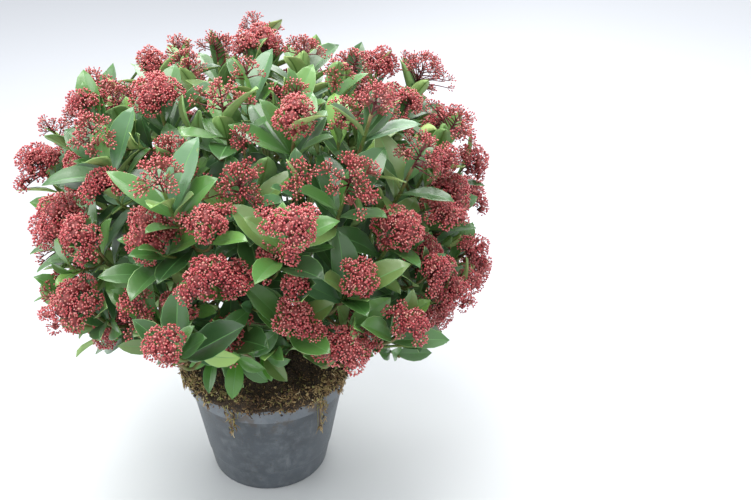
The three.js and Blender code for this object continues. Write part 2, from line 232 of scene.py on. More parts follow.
class Shells:
    """Closed shells, collected to be joined into one piece."""

    def __init__(self):
        self.points = []
        self.corners = []
        self.sizes = []
        self.tones = []
        self.count = 0

    def add(self, points, *groups):
        """Copies of one shell, as (copies, points, 3). A group is the faces of one copy, and the finish
        number of each, alike in all copies or by copy."""
        copies, size = points.shape[:2]
        starts = self.count + size * np.arange(copies)[:, None, None]
        for faces, tones in groups:
            faces = np.asarray(faces)
            self.corners.append((faces + starts).ravel())
            self.sizes.append(np.full(copies * len(faces), faces.shape[1]))
            self.tones.append(np.broadcast_to(tones, (copies, len(faces))).ravel())
        self.points.append(points.reshape(-1, 3))
        self.count += copies * size

    def mesh(self, name, finishes):
        corners = np.concatenate(self.corners)
        sizes = np.concatenate(self.sizes)
        mesh = bpy.data.meshes.new(name)
        mesh.vertices.add(self.count)
        mesh.vertices.foreach_set("co", np.concatenate(self.points).ravel())
        mesh.loops.add(len(corners))
        mesh.loops.foreach_set("vertex_index", corners)
        mesh.polygons.add(len(sizes))
        mesh.polygons.foreach_set("loop_start", np.cumsum(sizes) - sizes)
        mesh.polygons.foreach_set("material_index", np.concatenate(self.tones))
        mesh.polygons.foreach_set("use_smooth", np.ones(len(sizes), bool))
        mesh.update(calc_edges=True)
        for finish in finishes:
            mesh.materials.append(finish)
        piece = bpy.data.objects.new(name, mesh)
        bpy.context.scene.collection.objects.link(piece)
        return piece

    def piece(self, name, finishes, slot, *nodes):
        """The shells as one piece of the plant, in place of CAD nodes."""
        piece = self.mesh(name, finishes)
        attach(piece, "root")
        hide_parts(*nodes)
        return piece


def rounded(corners, steps=6):
    """An outline of (radius, height) points, from corners of (radius, height, size of the rounding)."""
    outline = []
    for index, (radius, height, rounding) in enumerate(corners):
        corner = np.array((radius, height))
        if not rounding:
            outline.append(corner)
            continue
        before = corner + rounding * unit(np.array(corners[index - 1][:2]) - corner)
        after = corner + rounding * unit(np.array(corners[index + 1][:2]) - corner)
        for t in np.linspace(0, 1, steps):
            outline.append((1 - t) ** 2 * before + 2 * t * (1 - t) * corner + t**2 * after)
    return np.array(outline)


def about_axis(turns, radii, heights):
    """Points by their turn about the pot's axis, their distance from it and their height."""
    return np.stack([radii * np.cos(turns), radii * np.sin(turns), heights + 0 * turns], -1)


def skin(rows, sides):
    """The quads between rows of points, and the fans that close the two ends on a point each, which come
    after the rows."""
    side = np.arange(sides)
    after = (side + 1) % sides
    low = sides * np.arange(rows - 1)[:, None]
    quads = np.stack([low + side, low + sides + side, low + sides + after, low + after], -1).reshape(-1, 4)
    last = sides * (rows - 1)
    foot_fan = np.stack([np.full(sides, rows * sides), side, after], -1)
    tip_fan = np.stack([np.full(sides, rows * sides + 1), last + after, last + side], -1)
    return quads, np.concatenate([foot_fan, tip_fan])


def turned(outline, sides):
    """A shell turned about the pot's axis, on which both ends of its outline lie: its points and faces."""
    turns = np.linspace(0, 2 * math.pi, sides, endpoint=False)
    radii, heights = outline[1:-1].T[..., None]
    ends = np.array([(0, 0, outline[0, 1]), (0, 0, outline[-1, 1])])
    points = np.concatenate([about_axis(turns, radii, heights).reshape(-1, 3), ends])
    quads, fans = skin(len(radii), sides)
    return points[None], (quads[:, [0, 3, 2, 1]], 0), (fans[:, [0, 2, 1]], 0)


pot_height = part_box("pot")[1].z
rim_radius = max(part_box("pot")[1].xy)
foot_radius = 0.087
shoulder_radius = 0.113  # just under the band
band_foot = pot_height - 0.030
pot_wall = 0.003
pot_corners = [
    (0, 0.0014, 0),
    (0.076, 0.0014, 0.001),
    (0.078, 0, 0.001),
    (foot_radius, 0, 0.0022),
    (0.0935, 0.036, 0.0012),
    (0.0947, 0.0385, 0.0012),
    (shoulder_radius, band_foot, 0.0008),
    (0.1172, band_foot, 0.0012),
    (rim_radius - 0.0012, pot_height - 0.006, 0.0015),
    (rim_radius, pot_height - 0.0035, 0.0015),
    (rim_radius, pot_height, 0.0014),
    (rim_radius - pot_wall, pot_height, 0.0012),
    (shoulder_radius - pot_wall, band_foot, 0.0008),
    (foot_radius - pot_wall, 0.0042, 0.002),
    (0, 0.0042, 0),
]
drain_ring = 0.062
drain_radius = 0.005


def pot_finish():
    plastic = Finish("dusty_grey_plastic")
    height = plastic.along(2)
    dust = plastic.step(plastic.noise(70, 7, 0.7), 0.42, 0.75)
    wiped = plastic.step(plastic.noise(9, 3), 0.35, 0.7)
    scuffs = plastic.step(plastic.noise(60, 3, 0.6, (1, 1, 0.12)), 0.60, 0.78)
    spots = plastic.step(plastic.noise(420, 2), 0.63, 0.70)
    splashes = plastic.step(plastic.noise(26, 7, 0.66), 0.53, 0.60)
    near_rim = plastic.step(height, band_foot - 0.045, pot_height)
    # The body below the band's foot is painted darker than the band: painted shade under the rim band.
    band_above_painted_shade = plastic.step(height, band_foot - 0.001, band_foot + 0.001)
    body = plastic.blend(wiped, paint(64, 70, 76), paint(76, 83, 90))
    band = plastic.blend(wiped, paint(94, 101, 108), paint(107, 114, 121))
    grey = plastic.blend(band_above_painted_shade, body, band)
    grey = plastic.blend(dust * 0.35, grey, paint(136, 141, 144))
    grey = plastic.blend(scuffs * 0.22, grey, paint(160, 165, 168))
    dirt = splashes * near_rim * 0.75 + spots * 0.5
    colour = plastic.blend(dirt, grey, paint(88, 74, 60))
    grain = plastic.noise(900, 2) * 0.5 + scuffs * 0.3 + dirt * 0.8
    rough = 0.42 + dust * 0.22 + dirt * 0.25
    return plastic.surface(Base_Color=colour, Roughness=rough, Normal=plastic.relief(grain, 0.0004, 0.6))


pot_shells = Shells()
pot_shells.add(*turned(rounded(pot_corners), 108))
pot = pot_shells.piece("nursery_pot", [pot_finish()], "pot_plastic", "pot")

drill = Shells()
bit_outline = np.array([(0, -0.01), (drain_radius, -0.01), (drain_radius, 0.012), (0, 0.012)])
bit_points, *bit_faces = turned(bit_outline, 20)
drain_places = about_axis(np.arange(6) * math.pi / 3, drain_ring, 0)
drill.add(bit_points + drain_places[:, None], *bit_faces)
bits = drill.mesh("drill", [])
cut = pot.modifiers.new("drain_holes", "BOOLEAN")
cut.operation = "DIFFERENCE"
cut.solver = "EXACT"
cut.object = bits
bpy.context.view_layer.objects.active = pot
bpy.ops.object.modifier_apply(modifier=cut.name)
bpy.data.objects.remove(bits)

# ---- Root ball ------------------------------------------------------------------------------------------
# Peat and roots fill the pot. A matted cushion of brown and olive moss has grown over them and bulges past
# the rim in tufts, with a few locks that hang down the pot. Its strands and crumbs are many small shells.

edge_radius = rim_radius + 0.006
mound_radii = (0, 0.024, 0.085, 0.118, 0.124, 0.128)
mound_heights = (0.205, 0.205, 0.198, 0.195, 0.188, 0.180)
root_ball_outline = [
    (0, 0.0046),
    (0.0835, 0.0046),
    (0.1090, band_foot),
    (0.1160, 0.1795),
    (0.1185, 0.1810),
    (0.1215, 0.1800),
    (0.1218, 0.1775),
    (0.1240, 0.1765),
    (0.1252, 0.1800),
    (0.1255, 0.1850),
    (0.1230, 0.1900),
    (0.1180, 0.1938),
    *[(radius, np.interp(radius, mound_radii, mound_heights)) for radius in np.arange(0.112, 0.004, -0.004)],
    (0, 0.205),
]
seat_radius = 0.1217  # inside this and under the next, the ball sits in the pot and keeps its shape
seat_height = 0.1812
stem_seat_radius = 0.0265  # of the flat top that the main stem stands on
lump_rise = 0.004

rng = np.random.default_rng(11)


def mound_wave(x, y):
    """Broad swells of the moss, from -1 to 1."""
    radius = 1000 * np.hypot(x, y)
    angle = np.arctan2(y, x)
    return np.sin(5 * angle + 0.06 * radius) * np.cos(3 * angle - 0.09 * radius + 1)


def mound_height(x, y):
    angle = np.arctan2(y, x)
    lumps = mound_wave(x, y) + 0.5 * np.sin(11 * angle + 2)
    return np.interp(np.hypot(x, y), mound_radii, mound_heights) + 0.75 * lump_rise * lumps


def crumbly(points):
    """Points of the root ball, in place, pushed up and out by swells, lumps and crumbs."""
    for point in points:
        x, y, z = point
        radius = math.hypot(x, y)
        if z < seat_height and radius < seat_radius:
            continue
        lump = 0.0032 * noise.noise(Vector(point) * 110) + 0.0018 * noise.noise(Vector(point) * 330)
        if radius > stem_seat_radius and z > 0.186:
            point[2] = mound_height(x, y) - 0.003 * (radius > 0.116) + lump
        if radius > 0.1195:
            point[:2] *= 1 + (0.0012 * mound_wave(x, y) + lump) / radius


def peat_finish():
    peat = Finish("peat")
    clods = peat.noise(140, 8, 0.7)
    fibres = peat.step(peat.noise(520, 3, 0.6, (1, 1, 0.5)), 0.5, 0.68)
    dark = peat.blend(peat.step(clods, 0.35, 0.65), paint(28, 21, 16), paint(68, 53, 36))
    colour = peat.blend(fibres * 0.5, dark, paint(116, 95, 62))
    return peat.surface(Base_Color=colour, Roughness=0.95, Normal=peat.relief(clods + fibres * 0.4, 0.004))


ball = Shells()
ball_points, *ball_faces = turned(np.array(root_ball_outline), 180)
crumbly(ball_points[0])
ball.add(ball_points, *ball_faces)
ball.piece("peat_ball", [peat_finish()], "peat_and_moss", "root_ball")


def square_to(axes):
    """Two directions square to each axis."""
    sides = np.cross(axes, (0.0, 0.0, 1.0))
    sides = np.where(np.linalg.norm(sides, axis=-1, keepdims=True) < 0.01, (1.0, 0.0, 0.0), sides)
    sides = unit(sides)
    return sides, unit(np.cross(sides, axes))


def tubes(paths, radii, sides, tones=0, closed=True):
    """Limbs through rows of points, ready to be added to shells. paths is (limbs, points, 3), and radii has
    one number for each point or for each side at it."""
    limbs, rows = paths.shape[:2]
    along = unit(np.gradient(paths, axis=1))
    across = square_to(unit(paths[:, -1] - paths[:, 0]))[0][:, None]
    out = unit(np.cross(across, along))
    side = np.cross(along, out)
    turns = 2 * math.pi * np.arange(sides) / sides
    if np.ndim(radii) < 3:
        radii = np.broadcast_to(np.asarray(radii)[..., None], (limbs, rows, sides))
    ring = np.cos(turns)[:, None] * side[:, :, None] + np.sin(turns)[:, None] * out[:, :, None]
    rings = (paths[:, :, None] + radii[..., None] * ring).reshape(limbs, -1, 3)
    points = np.concatenate([rings, paths[:, :1], paths[:, -1:]], 1)
    quads, fans = skin(rows, sides)
    return points, (quads, tones), *([(fans, tones)] if closed else [])


def strand_paths(starts, headings, lengths, curl, fall, steps):
    """Curly paths from start points that set out along headings and then fall."""
    count = len(starts)
    paths = np.empty((count, steps, 3))
    paths[:, 0] = starts
    heading = headings.copy()
    for step in range(1, steps):
        heading = unit(heading + curl * rng.normal(size=(count, 3)) + np.array((0, 0, -fall)))
        paths[:, step] = paths[:, step - 1] + heading * (lengths / (steps - 1))[:, None]
    return paths


moss_overhang = 0.0065


def off_the_pot(paths):
    """Strands, in place, pushed out of the rim and the mound, and held close to the band under it."""
    radius = np.hypot(paths[..., 0], paths[..., 1])
    hanging = paths[..., 2] < pot_height + 0.002
    outside = hanging & (radius > 0.1175)
    wanted = np.where(outside, np.clip(radius, rim_radius + 0.0012, rim_radius + moss_overhang), radius)
    paths[..., :2] *= (wanted / np.maximum(radius, 1e-6))[..., None]
    on_top = ~outside
    surface = mound_height(paths[..., 0], paths[..., 1])
    paths[..., 2] = np.where(on_top, np.maximum(paths[..., 2], surface - 0.001), paths[..., 2])
    return paths


moss_colours = [
    (52, 40, 30),
    (84, 64, 44),
    (112, 86, 58),
    (143, 117, 80),
    (170, 147, 104),
    (113, 106, 61),
    (144, 138, 86),
    (212, 194, 152),
]
dark_olive, pale_olive, straw_bit = 5, 6, 7
moss_finishes = plain_finishes("moss_tone", moss_colours, Roughness=0.9)
moss_count = 2000
tuft_count = 96
tuft_strands = 20
lock_count = 12
crumb_count = 4600


def moss_tone(points):
    """A tone for each point: straw and olive at the pot's left, ochre at its right, dark between them."""
    angle = np.arctan2(points[:, 1], points[:, 0])
    radius = np.hypot(points[:, 0], points[:, 1])
    sides = np.clip(1.15 * np.abs(points[:, 0]) / 0.125 - 0.05, 0, 1)
    patch = 0.5 + 0.5 * np.sin(3 * angle + 0.4) * np.cos(9 * angle + 90 * radius)
    outer = np.clip((radius - 0.07) / 0.05, 0, 1)
    dry = 0.12 + 0.46 * sides * outer + 0.24 * patch * outer + 0.18 * outer
    dry = np.clip(dry + 0.22 * rng.normal(size=len(points)), 0, 0.999)
    olive = rng.random(len(points)) < np.where(points[:, 0] < 0, 0.42, 0.12) * (0.4 + patch)
    green = np.where(dry > 0.55, pale_olive, dark_olive)
    tone = np.where(olive & (dry > 0.3), green, (5 * dry).astype(int))
    return np.where(rng.random(len(points)) < 0.015, straw_bit, tone)


moss = Shells()
thinning = np.array((0.8, 1.0, 0.8, 0.35))  # of a strand, from its root to its tip


def add_strands(starts, ways, lengths, curl, fall):
    """Curly strands of moss in their own tones."""
    paths = off_the_pot(strand_paths(starts, unit(ways), lengths, curl, fall, len(thinning)))
    radii = rng.uniform(0.0004, 0.0010, len(starts))[:, None] * thinning
    moss.add(*tubes(paths, radii, 3, moss_tone(starts)[:, None], closed=False))


# Moss lying on the mound, in curls that point every way.
angles = rng.random(moss_count) * 2 * math.pi
starts = about_axis(angles, edge_radius * np.sqrt(rng.uniform(0.03, 1, moss_count)), 0)
starts[:, 2] = mound_height(starts[:, 0], starts[:, 1]) - 0.001
ways = rng.normal(size=(moss_count, 3)) * (1, 1, 0.45)
add_strands(starts, ways, rng.uniform(0.005, 0.012, moss_count), 0.7, 0.05)

# Tufts that bulge over the rim, each a tangle round its own middle.
angles = rng.random(tuft_count) * 2 * math.pi
reach = rng.uniform(0.118, 0.1245, tuft_count)
tuft_sizes = rng.uniform(0.0030, 0.0068, tuft_count)
swell = mound_wave(reach * np.cos(angles), reach * np.sin(angles))
tufts = about_axis(angles, reach, 0.186 - 0.004 * swell - rng.uniform(0, 0.006, tuft_count))
spread = rng.normal(size=(tuft_count, tuft_strands, 3))
starts = (tufts[:, None] + 0.75 * tuft_sizes[:, None, None] * spread).reshape(-1, 3)
ways = spread.reshape(-1, 3) + rng.normal(size=starts.shape)
add_strands(starts, ways, rng.uniform(0.004, 0.009, len(starts)), 0.8, 0.25)

# Locks of roots and moss that dangle down the pot: three long ones, and short ones all round.
lock_angles = [math.radians(angle) for angle in (-108, -46, 172)]
lock_angles = lock_angles + list(rng.random(lock_count) * 2 * math.pi)
lock_lengths = [0.050, 0.062, 0.036] + list(rng.uniform(0.010, 0.020, lock_count))
for lock_angle, lock_length in zip(lock_angles, lock_lengths):
    count = 12 + int(900 * lock_length)
    along = rng.random(count)
    waver = rng.normal(size=count) * 0.030 * (1.15 - along)
    angles = lock_angle + waver + 0.04 * np.sin(5 * along + lock_angle)
    starts = about_axis(angles, rng.uniform(0.121, 0.1265, count), 0.183 - along * lock_length)
    ways = rng.normal(size=(count, 3)) + (0, 0, -0.9)
    add_strands(starts, ways, rng.uniform(0.005, 0.012, count), 0.55, 0.5)
moss.piece("moss", moss_finishes, "peat_and_moss", "root_ball")

# Crumbs of peat, bark chips and grit between the strands: lopsided six-cornered shells.
chip_corners = np.array([(1, 0, 0), (0, 1, 0), (-1, 0, 0), (0, -1, 0), (0, 0, 1), (0, 0, -1)], float)
chip_faces = [(0, 1, 4), (1, 2, 4), (2, 3, 4), (3, 0, 4), (1, 0, 5), (2, 1, 5), (3, 2, 5), (0, 3, 5)]
angles = rng.random(crumb_count) * 2 * math.pi
middles = about_axis(angles, (edge_radius + 0.0005) * np.sqrt(rng.uniform(0.02, 1, crumb_count)), 0)
middles[:, 2] = mound_height(middles[:, 0], middles[:, 1]) + rng.uniform(-0.001, 0.0015, crumb_count)
tufted = rng.random(crumb_count) < 0.4
tuft_of_crumb = rng.integers(0, tuft_count, crumb_count)
inside_tuft = 0.8 * tuft_sizes[tuft_of_crumb][:, None] * rng.normal(size=(crumb_count, 3))
middles = np.where(tufted[:, None], tufts[tuft_of_crumb] + inside_tuft, middles)
middles = off_the_pot(middles)
sizes = rng.uniform(0.0007, 0.0022, (crumb_count, 1, 1)) * rng.uniform(0.45, 1.5, (crumb_count, 1, 3))
corners = chip_corners * sizes * rng.uniform(0.7, 1.3, (crumb_count, 6, 3))
spin_side, spin_other = square_to(unit(rng.normal(size=(crumb_count, 3))))
spin = np.stack([spin_side, spin_other, np.cross(spin_side, spin_other)], 1)
crumbs = Shells()
tones = np.where(rng.random(crumb_count) < 0.25, 0, moss_tone(middles))[:, None]
crumbs.add(middles[:, None] + corners @ spin, (chip_faces, tones))
crumbs.piece("crumbs", moss_finishes, "peat_and_moss", "root_ball")

# ---- Main stem ------------------------------------------------------------------------------------------
# One short woody stem stands in the middle of the root ball. Its grey-brown bark has fine upright cracks,
# pale lenticels and a flare of root collars at the foot.

stem_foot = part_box("main_stem")[0].z
stem_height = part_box("main_stem")[1].z - stem_foot
stem_lean = 0.005
stem_bow = 0.003
stem_root_radius = 0.011
stem_tip_radius = 0.0075
flare_radius = 0.005  # added at the foot
flare_fade = 0.006  # height over which the flare dies away


def bark_finish():
    bark = Finish("grey_brown_bark")
    cracks = bark.noise(260, 6, 0.65, (1, 1, 0.22))
    patches = bark.step(bark.noise(45, 4), 0.4, 0.65)
    cork = bark.step(bark.noise(700, 2, 0.5, (1, 1, 1.8)), 0.60, 0.66)
    brown = bark.blend(bark.step(cracks, 0.35, 0.62), paint(58, 46, 36), paint(121, 104, 80))
    colour = bark.blend(patches * 0.45, brown, paint(110, 116, 82))
    colour = bark.blend(cork * 0.6, colour, paint(170, 156, 128))
    cracked = bark.relief(cracks + cork * 0.5, 0.0012)
    return bark.surface(Base_Color=colour, Roughness=0.82 - patches * 0.1, Normal=cracked)


def bark_relief(rows, sides, length, radius, seed):
    """How much the bark stands out at each point of a limb, as a share: cracks, swellings and lenticels."""
    relief = np.ones((rows, sides))
    for row, height in enumerate(np.linspace(0, length, rows)):
        for side in range(sides):
            turn = 2 * math.pi * side / sides
            x, y = math.cos(turn), math.sin(turn)
            crack = noise.noise(Vector((x * radius * 500, y * radius * 500, height * 90 + 7 * seed)))
            swelling = noise.noise(Vector((x, y, height * 45 + 3 * seed)))
            relief[row, side] += 0.075 * crack + 0.07 * swelling
    return relief


def stem_centre(height):
    share = np.asarray(height) / stem_height
    return np.stack([stem_lean * share, -stem_bow * share**2, stem_foot + height], -1)


bark = bark_finish()
stem_rows = 44
stem_sides = 36
heights = stem_height * np.linspace(0, 1, stem_rows) ** 1.25
flare = flare_radius * np.exp(-heights / flare_fade)
turns = 2 * math.pi * np.arange(stem_sides) / stem_sides
collars = 0.16 * np.cos(5 * turns + 0.6) + 0.08 * np.cos(3 * turns)
collars = 1 + np.outer(np.exp(-heights / (2 * flare_fade)), collars)
stem_radii = np.interp(heights, (0, stem_height), (stem_root_radius, stem_tip_radius))
stem_radii = (stem_radii + flare)[:, None] * collars
stem_radii = stem_radii * bark_relief(stem_rows, stem_sides, stem_height, 0.010, 1)
stem_shell = Shells()
stem_shell.add(*tubes(stem_centre(heights)[None], stem_radii[None], stem_sides))
stem_shell.piece("stem_bark", [bark], "bark", "main_stem")

# ---- Boughs ---------------------------------------------------------------------------------------------
# Fourteen boughs leave the stem a golden angle apart, the lowest nearly level and the last one upright.
# They bend up at a knee, and their bark is like the stem's, with rings where old leaves fell.

crown_radius = 0.302
crown_height = 0.405
crown_above = 0.270
crown_below = 0.196
crown_roundness = 2.5  # 2 is an ellipsoid, more is boxier
crown_power = 2 / crown_roundness
front_draw = 0.08
front_lift = 0.97
focus = np.array((0, 0, 0.242))
golden_angle = math.pi * (3 - math.sqrt(5))
up = np.array((0.0, 0.0, 1.0))
mass_count = 14
mass_gap = 0.0008
mass_start = 0.38
mass_fork = 0.5
lowest_mass = -0.46  # as a sine of latitude
clearance = 0.0003
bough_root_radius = 0.0046
bough_tip_radius = 0.0034
bough_neck = 0.014
root_heights = (0.016, 0.062)  # on the main stem, of the lowest and of the highest level bough
knee_heights = (0.007, 0.016)  # over the root, of the same two
knee_out = 0.022


def mix(low, high, share):
    return low + (high - low) * share


def chance(a, b):
    """A repeatable number from 0 to 1 for each pair of whole numbers."""
    h = ((a + 1) * 374761393 + (b + 1) * 668265263) & 0xFFFFFFFF
    h = ((h ^ (h >> 13)) * 1274126177) & 0xFFFFFFFF
    h = ((h ^ (h >> 15)) * 2246822519) & 0xFFFFFFFF
    return (h ^ (h >> 16)) / 0x100000000


def crown_place(index, count, lowest_sine, turn, scatter, depth):
    """One of some evenly spread places on the crown's outline, from the skirt to the top, drawn in to a
    depth. The crown's front is narrower and has less below."""
    share = (index + 0.5 + scatter * (chance(index, 1) - 0.5)) / (count - 0.5)
    sine = mix(lowest_sine, 1, min(max(share, 0), 1))
    azimuth = turn + index * golden_angle + scatter * (chance(index, 2) - 0.5) / math.sqrt(count)
    front = max(0, -math.sin(azimuth))
    out = crown_radius * (1 - front_draw * front) * math.sqrt(1 - sine * sine) ** crown_power
    below = crown_below * (1 - front_lift * front)
    rise = abs(sine) ** crown_power * (-below if sine < 0 else crown_above)
    place = np.array((out * math.cos(azimuth), out * math.sin(azimuth), crown_height + rise))
    return focus + depth * (place - focus)


mass_places = np.array(
    [crown_place(i, mass_count, lowest_mass, turn=0.35, scatter=0, depth=1) for i in range(mass_count)]
)
mass_ways = unit(mass_places - focus)
mass_walls = [
    [unit(mass_ways[own] - mass_ways[other]) for other in range(mass_count) if other != own]
    for own in range(mass_count)
]
bough_tips = mix(focus, mass_places, mass_start)


def mass_of(place):
    """The mass in whose space a place lies."""
    return int(np.argmax(mass_ways @ unit(place - focus)))


def keep_inside(point, mass, radius):
    """Moves a point until a ball round it lies inside the space of a mass."""
    for _ in range(4):
        for wall in mass_walls[mass]:
            room = wall @ (point - focus) - mass_gap / 2
            if room < radius:
                point = point + wall * (radius - room)
    return point


def flowing(knots, count):
    """Evenly spaced points on a smooth curve through knots."""
    knots = np.asarray(knots, float)
    padded = [2 * knots[0] - knots[1], *knots, 2 * knots[-1] - knots[-2]]
    line = []
    for before, start, end, beyond in zip(padded, padded[1:], padded[2:], padded[3:]):
        gaps = [math.sqrt(np.linalg.norm(b - a)) for a, b in ((before, start), (start, end), (end, beyond))]
        leave = (start - before) / gaps[0] - (end - before) / (gaps[0] + gaps[1]) + (end - start) / gaps[1]
        arrive = (end - start) / gaps[1] - (beyond - start) / (gaps[1] + gaps[2]) + (beyond - end) / gaps[2]
        t = np.linspace(0, 1, 16)[:, None]
        cubic = 2 * (start - end) + gaps[1] * (leave + arrive)
        square = 3 * (end - start) - gaps[1] * (2 * leave + arrive)
        line.append(start + gaps[1] * leave * t + square * t**2 + cubic * t**3)
    line = np.concatenate(line)
    lengths = np.concatenate([[0], np.cumsum(np.linalg.norm(np.diff(line, axis=0), axis=1))])
    wanted = np.linspace(0, lengths[-1], count)
    return np.stack([np.interp(wanted, lengths, line[:, i]) for i in range(3)], -1)


def bough_path(i, rows):
    """The line of a bough. The last one goes on upright from the stem's tip; the others bend at a knee."""
    neck = bough_tips[i] - bough_neck * mass_ways[i]
    if i == mass_count - 1:
        root = stem_centre(stem_height - 0.003)
        knee = root + up * knee_out
    else:
        share = i / (mass_count - 1)
        root = stem_centre(mix(*root_heights, share))
        knee = root + up * mix(*knee_heights, share) + unit(mass_ways[i] * (1, 1, 0)) * knee_out
    curve = flowing([root, knee, (knee + neck) / 2, neck], rows - 1)
    return np.concatenate([curve, bough_tips[i][None]])


bough_rows = 30
bough_sides = 14
for i in range(mass_count):
    radii = np.linspace(bough_root_radius, bough_tip_radius, bough_rows)[:, None] * np.ones(bough_sides)
    rings = 0.10 * np.clip(np.sin(np.linspace(0, 5.5 * math.pi, bough_rows) + i), 0.75, 1) - 0.075
    collar = 0.35 * np.exp(-np.linspace(0, 12, bough_rows))
    radii = radii * (1 + rings + collar)[:, None] * bark_relief(bough_rows, bough_sides, 0.06, 0.004, i + 2)
    bough = Shells()
    bough.add(*tubes(bough_path(i, bough_rows)[None], radii[None], bough_sides))
    bough.piece(f"bough_bark_{i + 1}", [bark], "bark", f"bough_{i + 1}")

# ---- Twigs ----------------------------------------------------------------------------------------------
# Each bough goes on as a stem that forks into shoots, and the shoots carry thinner side shoots. The young
# wood is green to red-brown and ridged where its leaves sat.

shoot_count = 78
shoot_spacing = 0.090
shoot_depths = (0.88, 1.03)  # reach, as a share of the crown's
lowest_shoot = -0.5  # as a sine of latitude
upright_pull = 0.5
budless_share = 0.14
panicle_radii = (0.022, 0.036)
stalk_lengths = (0.012, 0.028)
twig_sag = 0.06
leaf_zone = 0.036
side_leaf_zone = 0.024
side_stalk = 0.011
panicle_slimness = 1.6
gap_tries = 500
gap_shoot_count = 72
gap_radii = (0.018, 0.030)  # of the largest panicles that may fill a gap
least_gap = 0.014
free_air = 0.004
leafy_side_shoots = 2
leafy_lengths = (0.036, 0.064)
pot_reach = 0.130  # the crown's underside is level this far out
level_underside = 0.213


class Shoot:
    """One shoot of the crown: its mass, its axis, and the size and place of its panicle of buds."""

    def __init__(self, index):
        depth = mix(*shoot_depths, chance(index, 3))
        tip = crown_place(index, shoot_count, lowest_shoot, turn=0.5, scatter=1.2, depth=depth)
        outward = unit(tip - focus)
        self.index = index
        self.mass = mass_of(tip)
        self.radius = mix(*panicle_radii, chance(index, 4))
        self.height = panicle_slimness * self.radius
        self.middle = tip - outward * self.height / 2
        self.budless = chance(index, 6) < budless_share

    def settle(self):
        """Fixes the shoot's axis and its points, once its middle has found its place."""
        stalk = mix(*stalk_lengths, chance(self.index, 5))
        self.axis = unit(unit(self.middle - focus) + upright_pull * up)
        self.top = self.middle + self.axis * self.height / 2
        self.collar = keep_inside(self.top - self.axis * (self.height + stalk), self.mass, 0.005)
        self.foot = keep_inside(self.collar - self.axis * leaf_zone, self.mass, 0.005)
        self.panicle_foot = self.top - self.axis * self.height
        fork = mix(focus, mass_places[self.mass], mass_fork)
        low = (fork + self.foot) / 2 - up * twig_sag * np.linalg.norm(fork - self.foot)
        low = keep_inside(low, self.mass, 0.004)
        end = self.collar if self.budless else self.panicle_foot
        self.twig = flowing([fork, low, self.foot, end], 15)


def underside(places):
    """The crown's lowest height over each place: level over the pot, and rising to the front beside it."""
    reach = np.hypot(places[..., 0], places[..., 1])
    front = np.maximum(0, -places[..., 1]) / np.maximum(reach, 0.001)
    return np.where(reach < pot_reach, level_underside, 0.201 + 1.1 * front * (reach - pot_reach))


def spread_out(shoots):
    """Pushes the middles of the shoots apart, until they fill the spaces of their masses evenly."""
    for _ in range(12):
        for one in shoots:
            for other in shoots:
                apart = one.middle - other.middle
                distance = math.sqrt(apart @ apart)
                if other is one or distance >= shoot_spacing:
                    continue
                one.middle = one.middle + apart / distance * (shoot_spacing - distance) / 4
            one.middle[2] = max(one.middle[2], underside(one.middle) + one.height / 2)
            one.middle = keep_inside(one.middle, one.mass, 1.15 * one.radius)


shoots = [Shoot(index) for index in range(shoot_count)]
spread_out(shoots)
for shoot in shoots:
    shoot.settle()


class SideShoot:
    """A thinner shoot that leaves the twig of another one below its leaves. It ends in a small panicle, or
    in leaves where its radius is 0."""

    def __init__(self, index, parent, root, axis, tip, radius):
        self.index = index
        self.mass = parent.mass
        self.axis = axis
        self.radius = radius
        self.height = panicle_slimness * radius
        self.budless = radius == 0
        self.top = tip
        self.middle = tip - axis * self.height / 2
        self.panicle_foot = tip - axis * self.height
        self.collar = self.panicle_foot - axis * (0 if self.budless else side_stalk)
        self.foot = self.collar - axis * side_leaf_zone
        bend = mix(root, self.foot, 0.5) - up * 0.004
        self.twig = flowing([root, bend, self.foot, self.panicle_foot], 9)


def lowest_leaf(places):
    """The same for the side shoots and all leaves, which leave the moss in front of the stem in sight."""
    return np.maximum(underside(places), level_underside + 0.6 * np.maximum(0, -places[..., 1]))


def gap_shoots():
    """Side shoots with panicles of their own, each as large as the gap it fills between those around it."""
    places = []
    for index in range(gap_tries):
        furthest = mix(1.0, 0.90, (index / gap_tries) ** 2)
        depth = mix(0.86, furthest, chance(index, 23))
        place = crown_place(index, gap_tries, lowest_mass, turn=2.4, scatter=3, depth=depth)
        places.append(keep_inside(place, mass_of(place), least_gap))
    places = np.array(places)
    budded = [one for one in shoots if not one.budless]
    gaps = np.array([np.linalg.norm(places - one.middle, axis=1) - one.radius for one in budded]).min(0)
    gaps = np.minimum(gaps, places[:, 2] - lowest_leaf(places) - 0.022)
    gaps = np.minimum(gaps, (cad_box[1].z - places[:, 2]) / 0.9)
    found = []
    while len(found) < gap_shoot_count and gaps.max() > least_gap + free_air:
        best = int(np.argmax(gaps))
        radius = min(gaps[best] - free_air, mix(*gap_radii, chance(best, 24)))
        mass = mass_of(places[best])
        place = keep_inside(places[best], mass, 0.9 * radius)
        parents = [one for one in shoots if one.mass == mass]
        parent = min(parents, key=lambda one: np.linalg.norm(place - one.foot))
        axis = unit(unit(place - focus) + upright_pull * up + 0.3 * unit(place - parent.foot))
        index = 1000 + best
        root = parent.twig[int(mix(4, 8, chance(index, 2)))]
        tip = place + axis * panicle_slimness * radius / 2
        found.append(SideShoot(index, parent, root, axis, tip, radius))
        gaps = np.minimum(gaps, np.linalg.norm(places - place, axis=1) - radius)
        gaps[best] = 0
    return found


def aimed_shoot(index, tip, axis, radius=0):
    """A side shoot with its tip in a given place, from the twig that passes nearest."""
    tip = np.array(tip)
    axis = unit(np.array(axis))
    parent = min(shoots, key=lambda one: np.linalg.norm(tip - 0.03 * axis - one.twig[6]))
    return SideShoot(index, parent, parent.twig[6], axis, tip, radius)


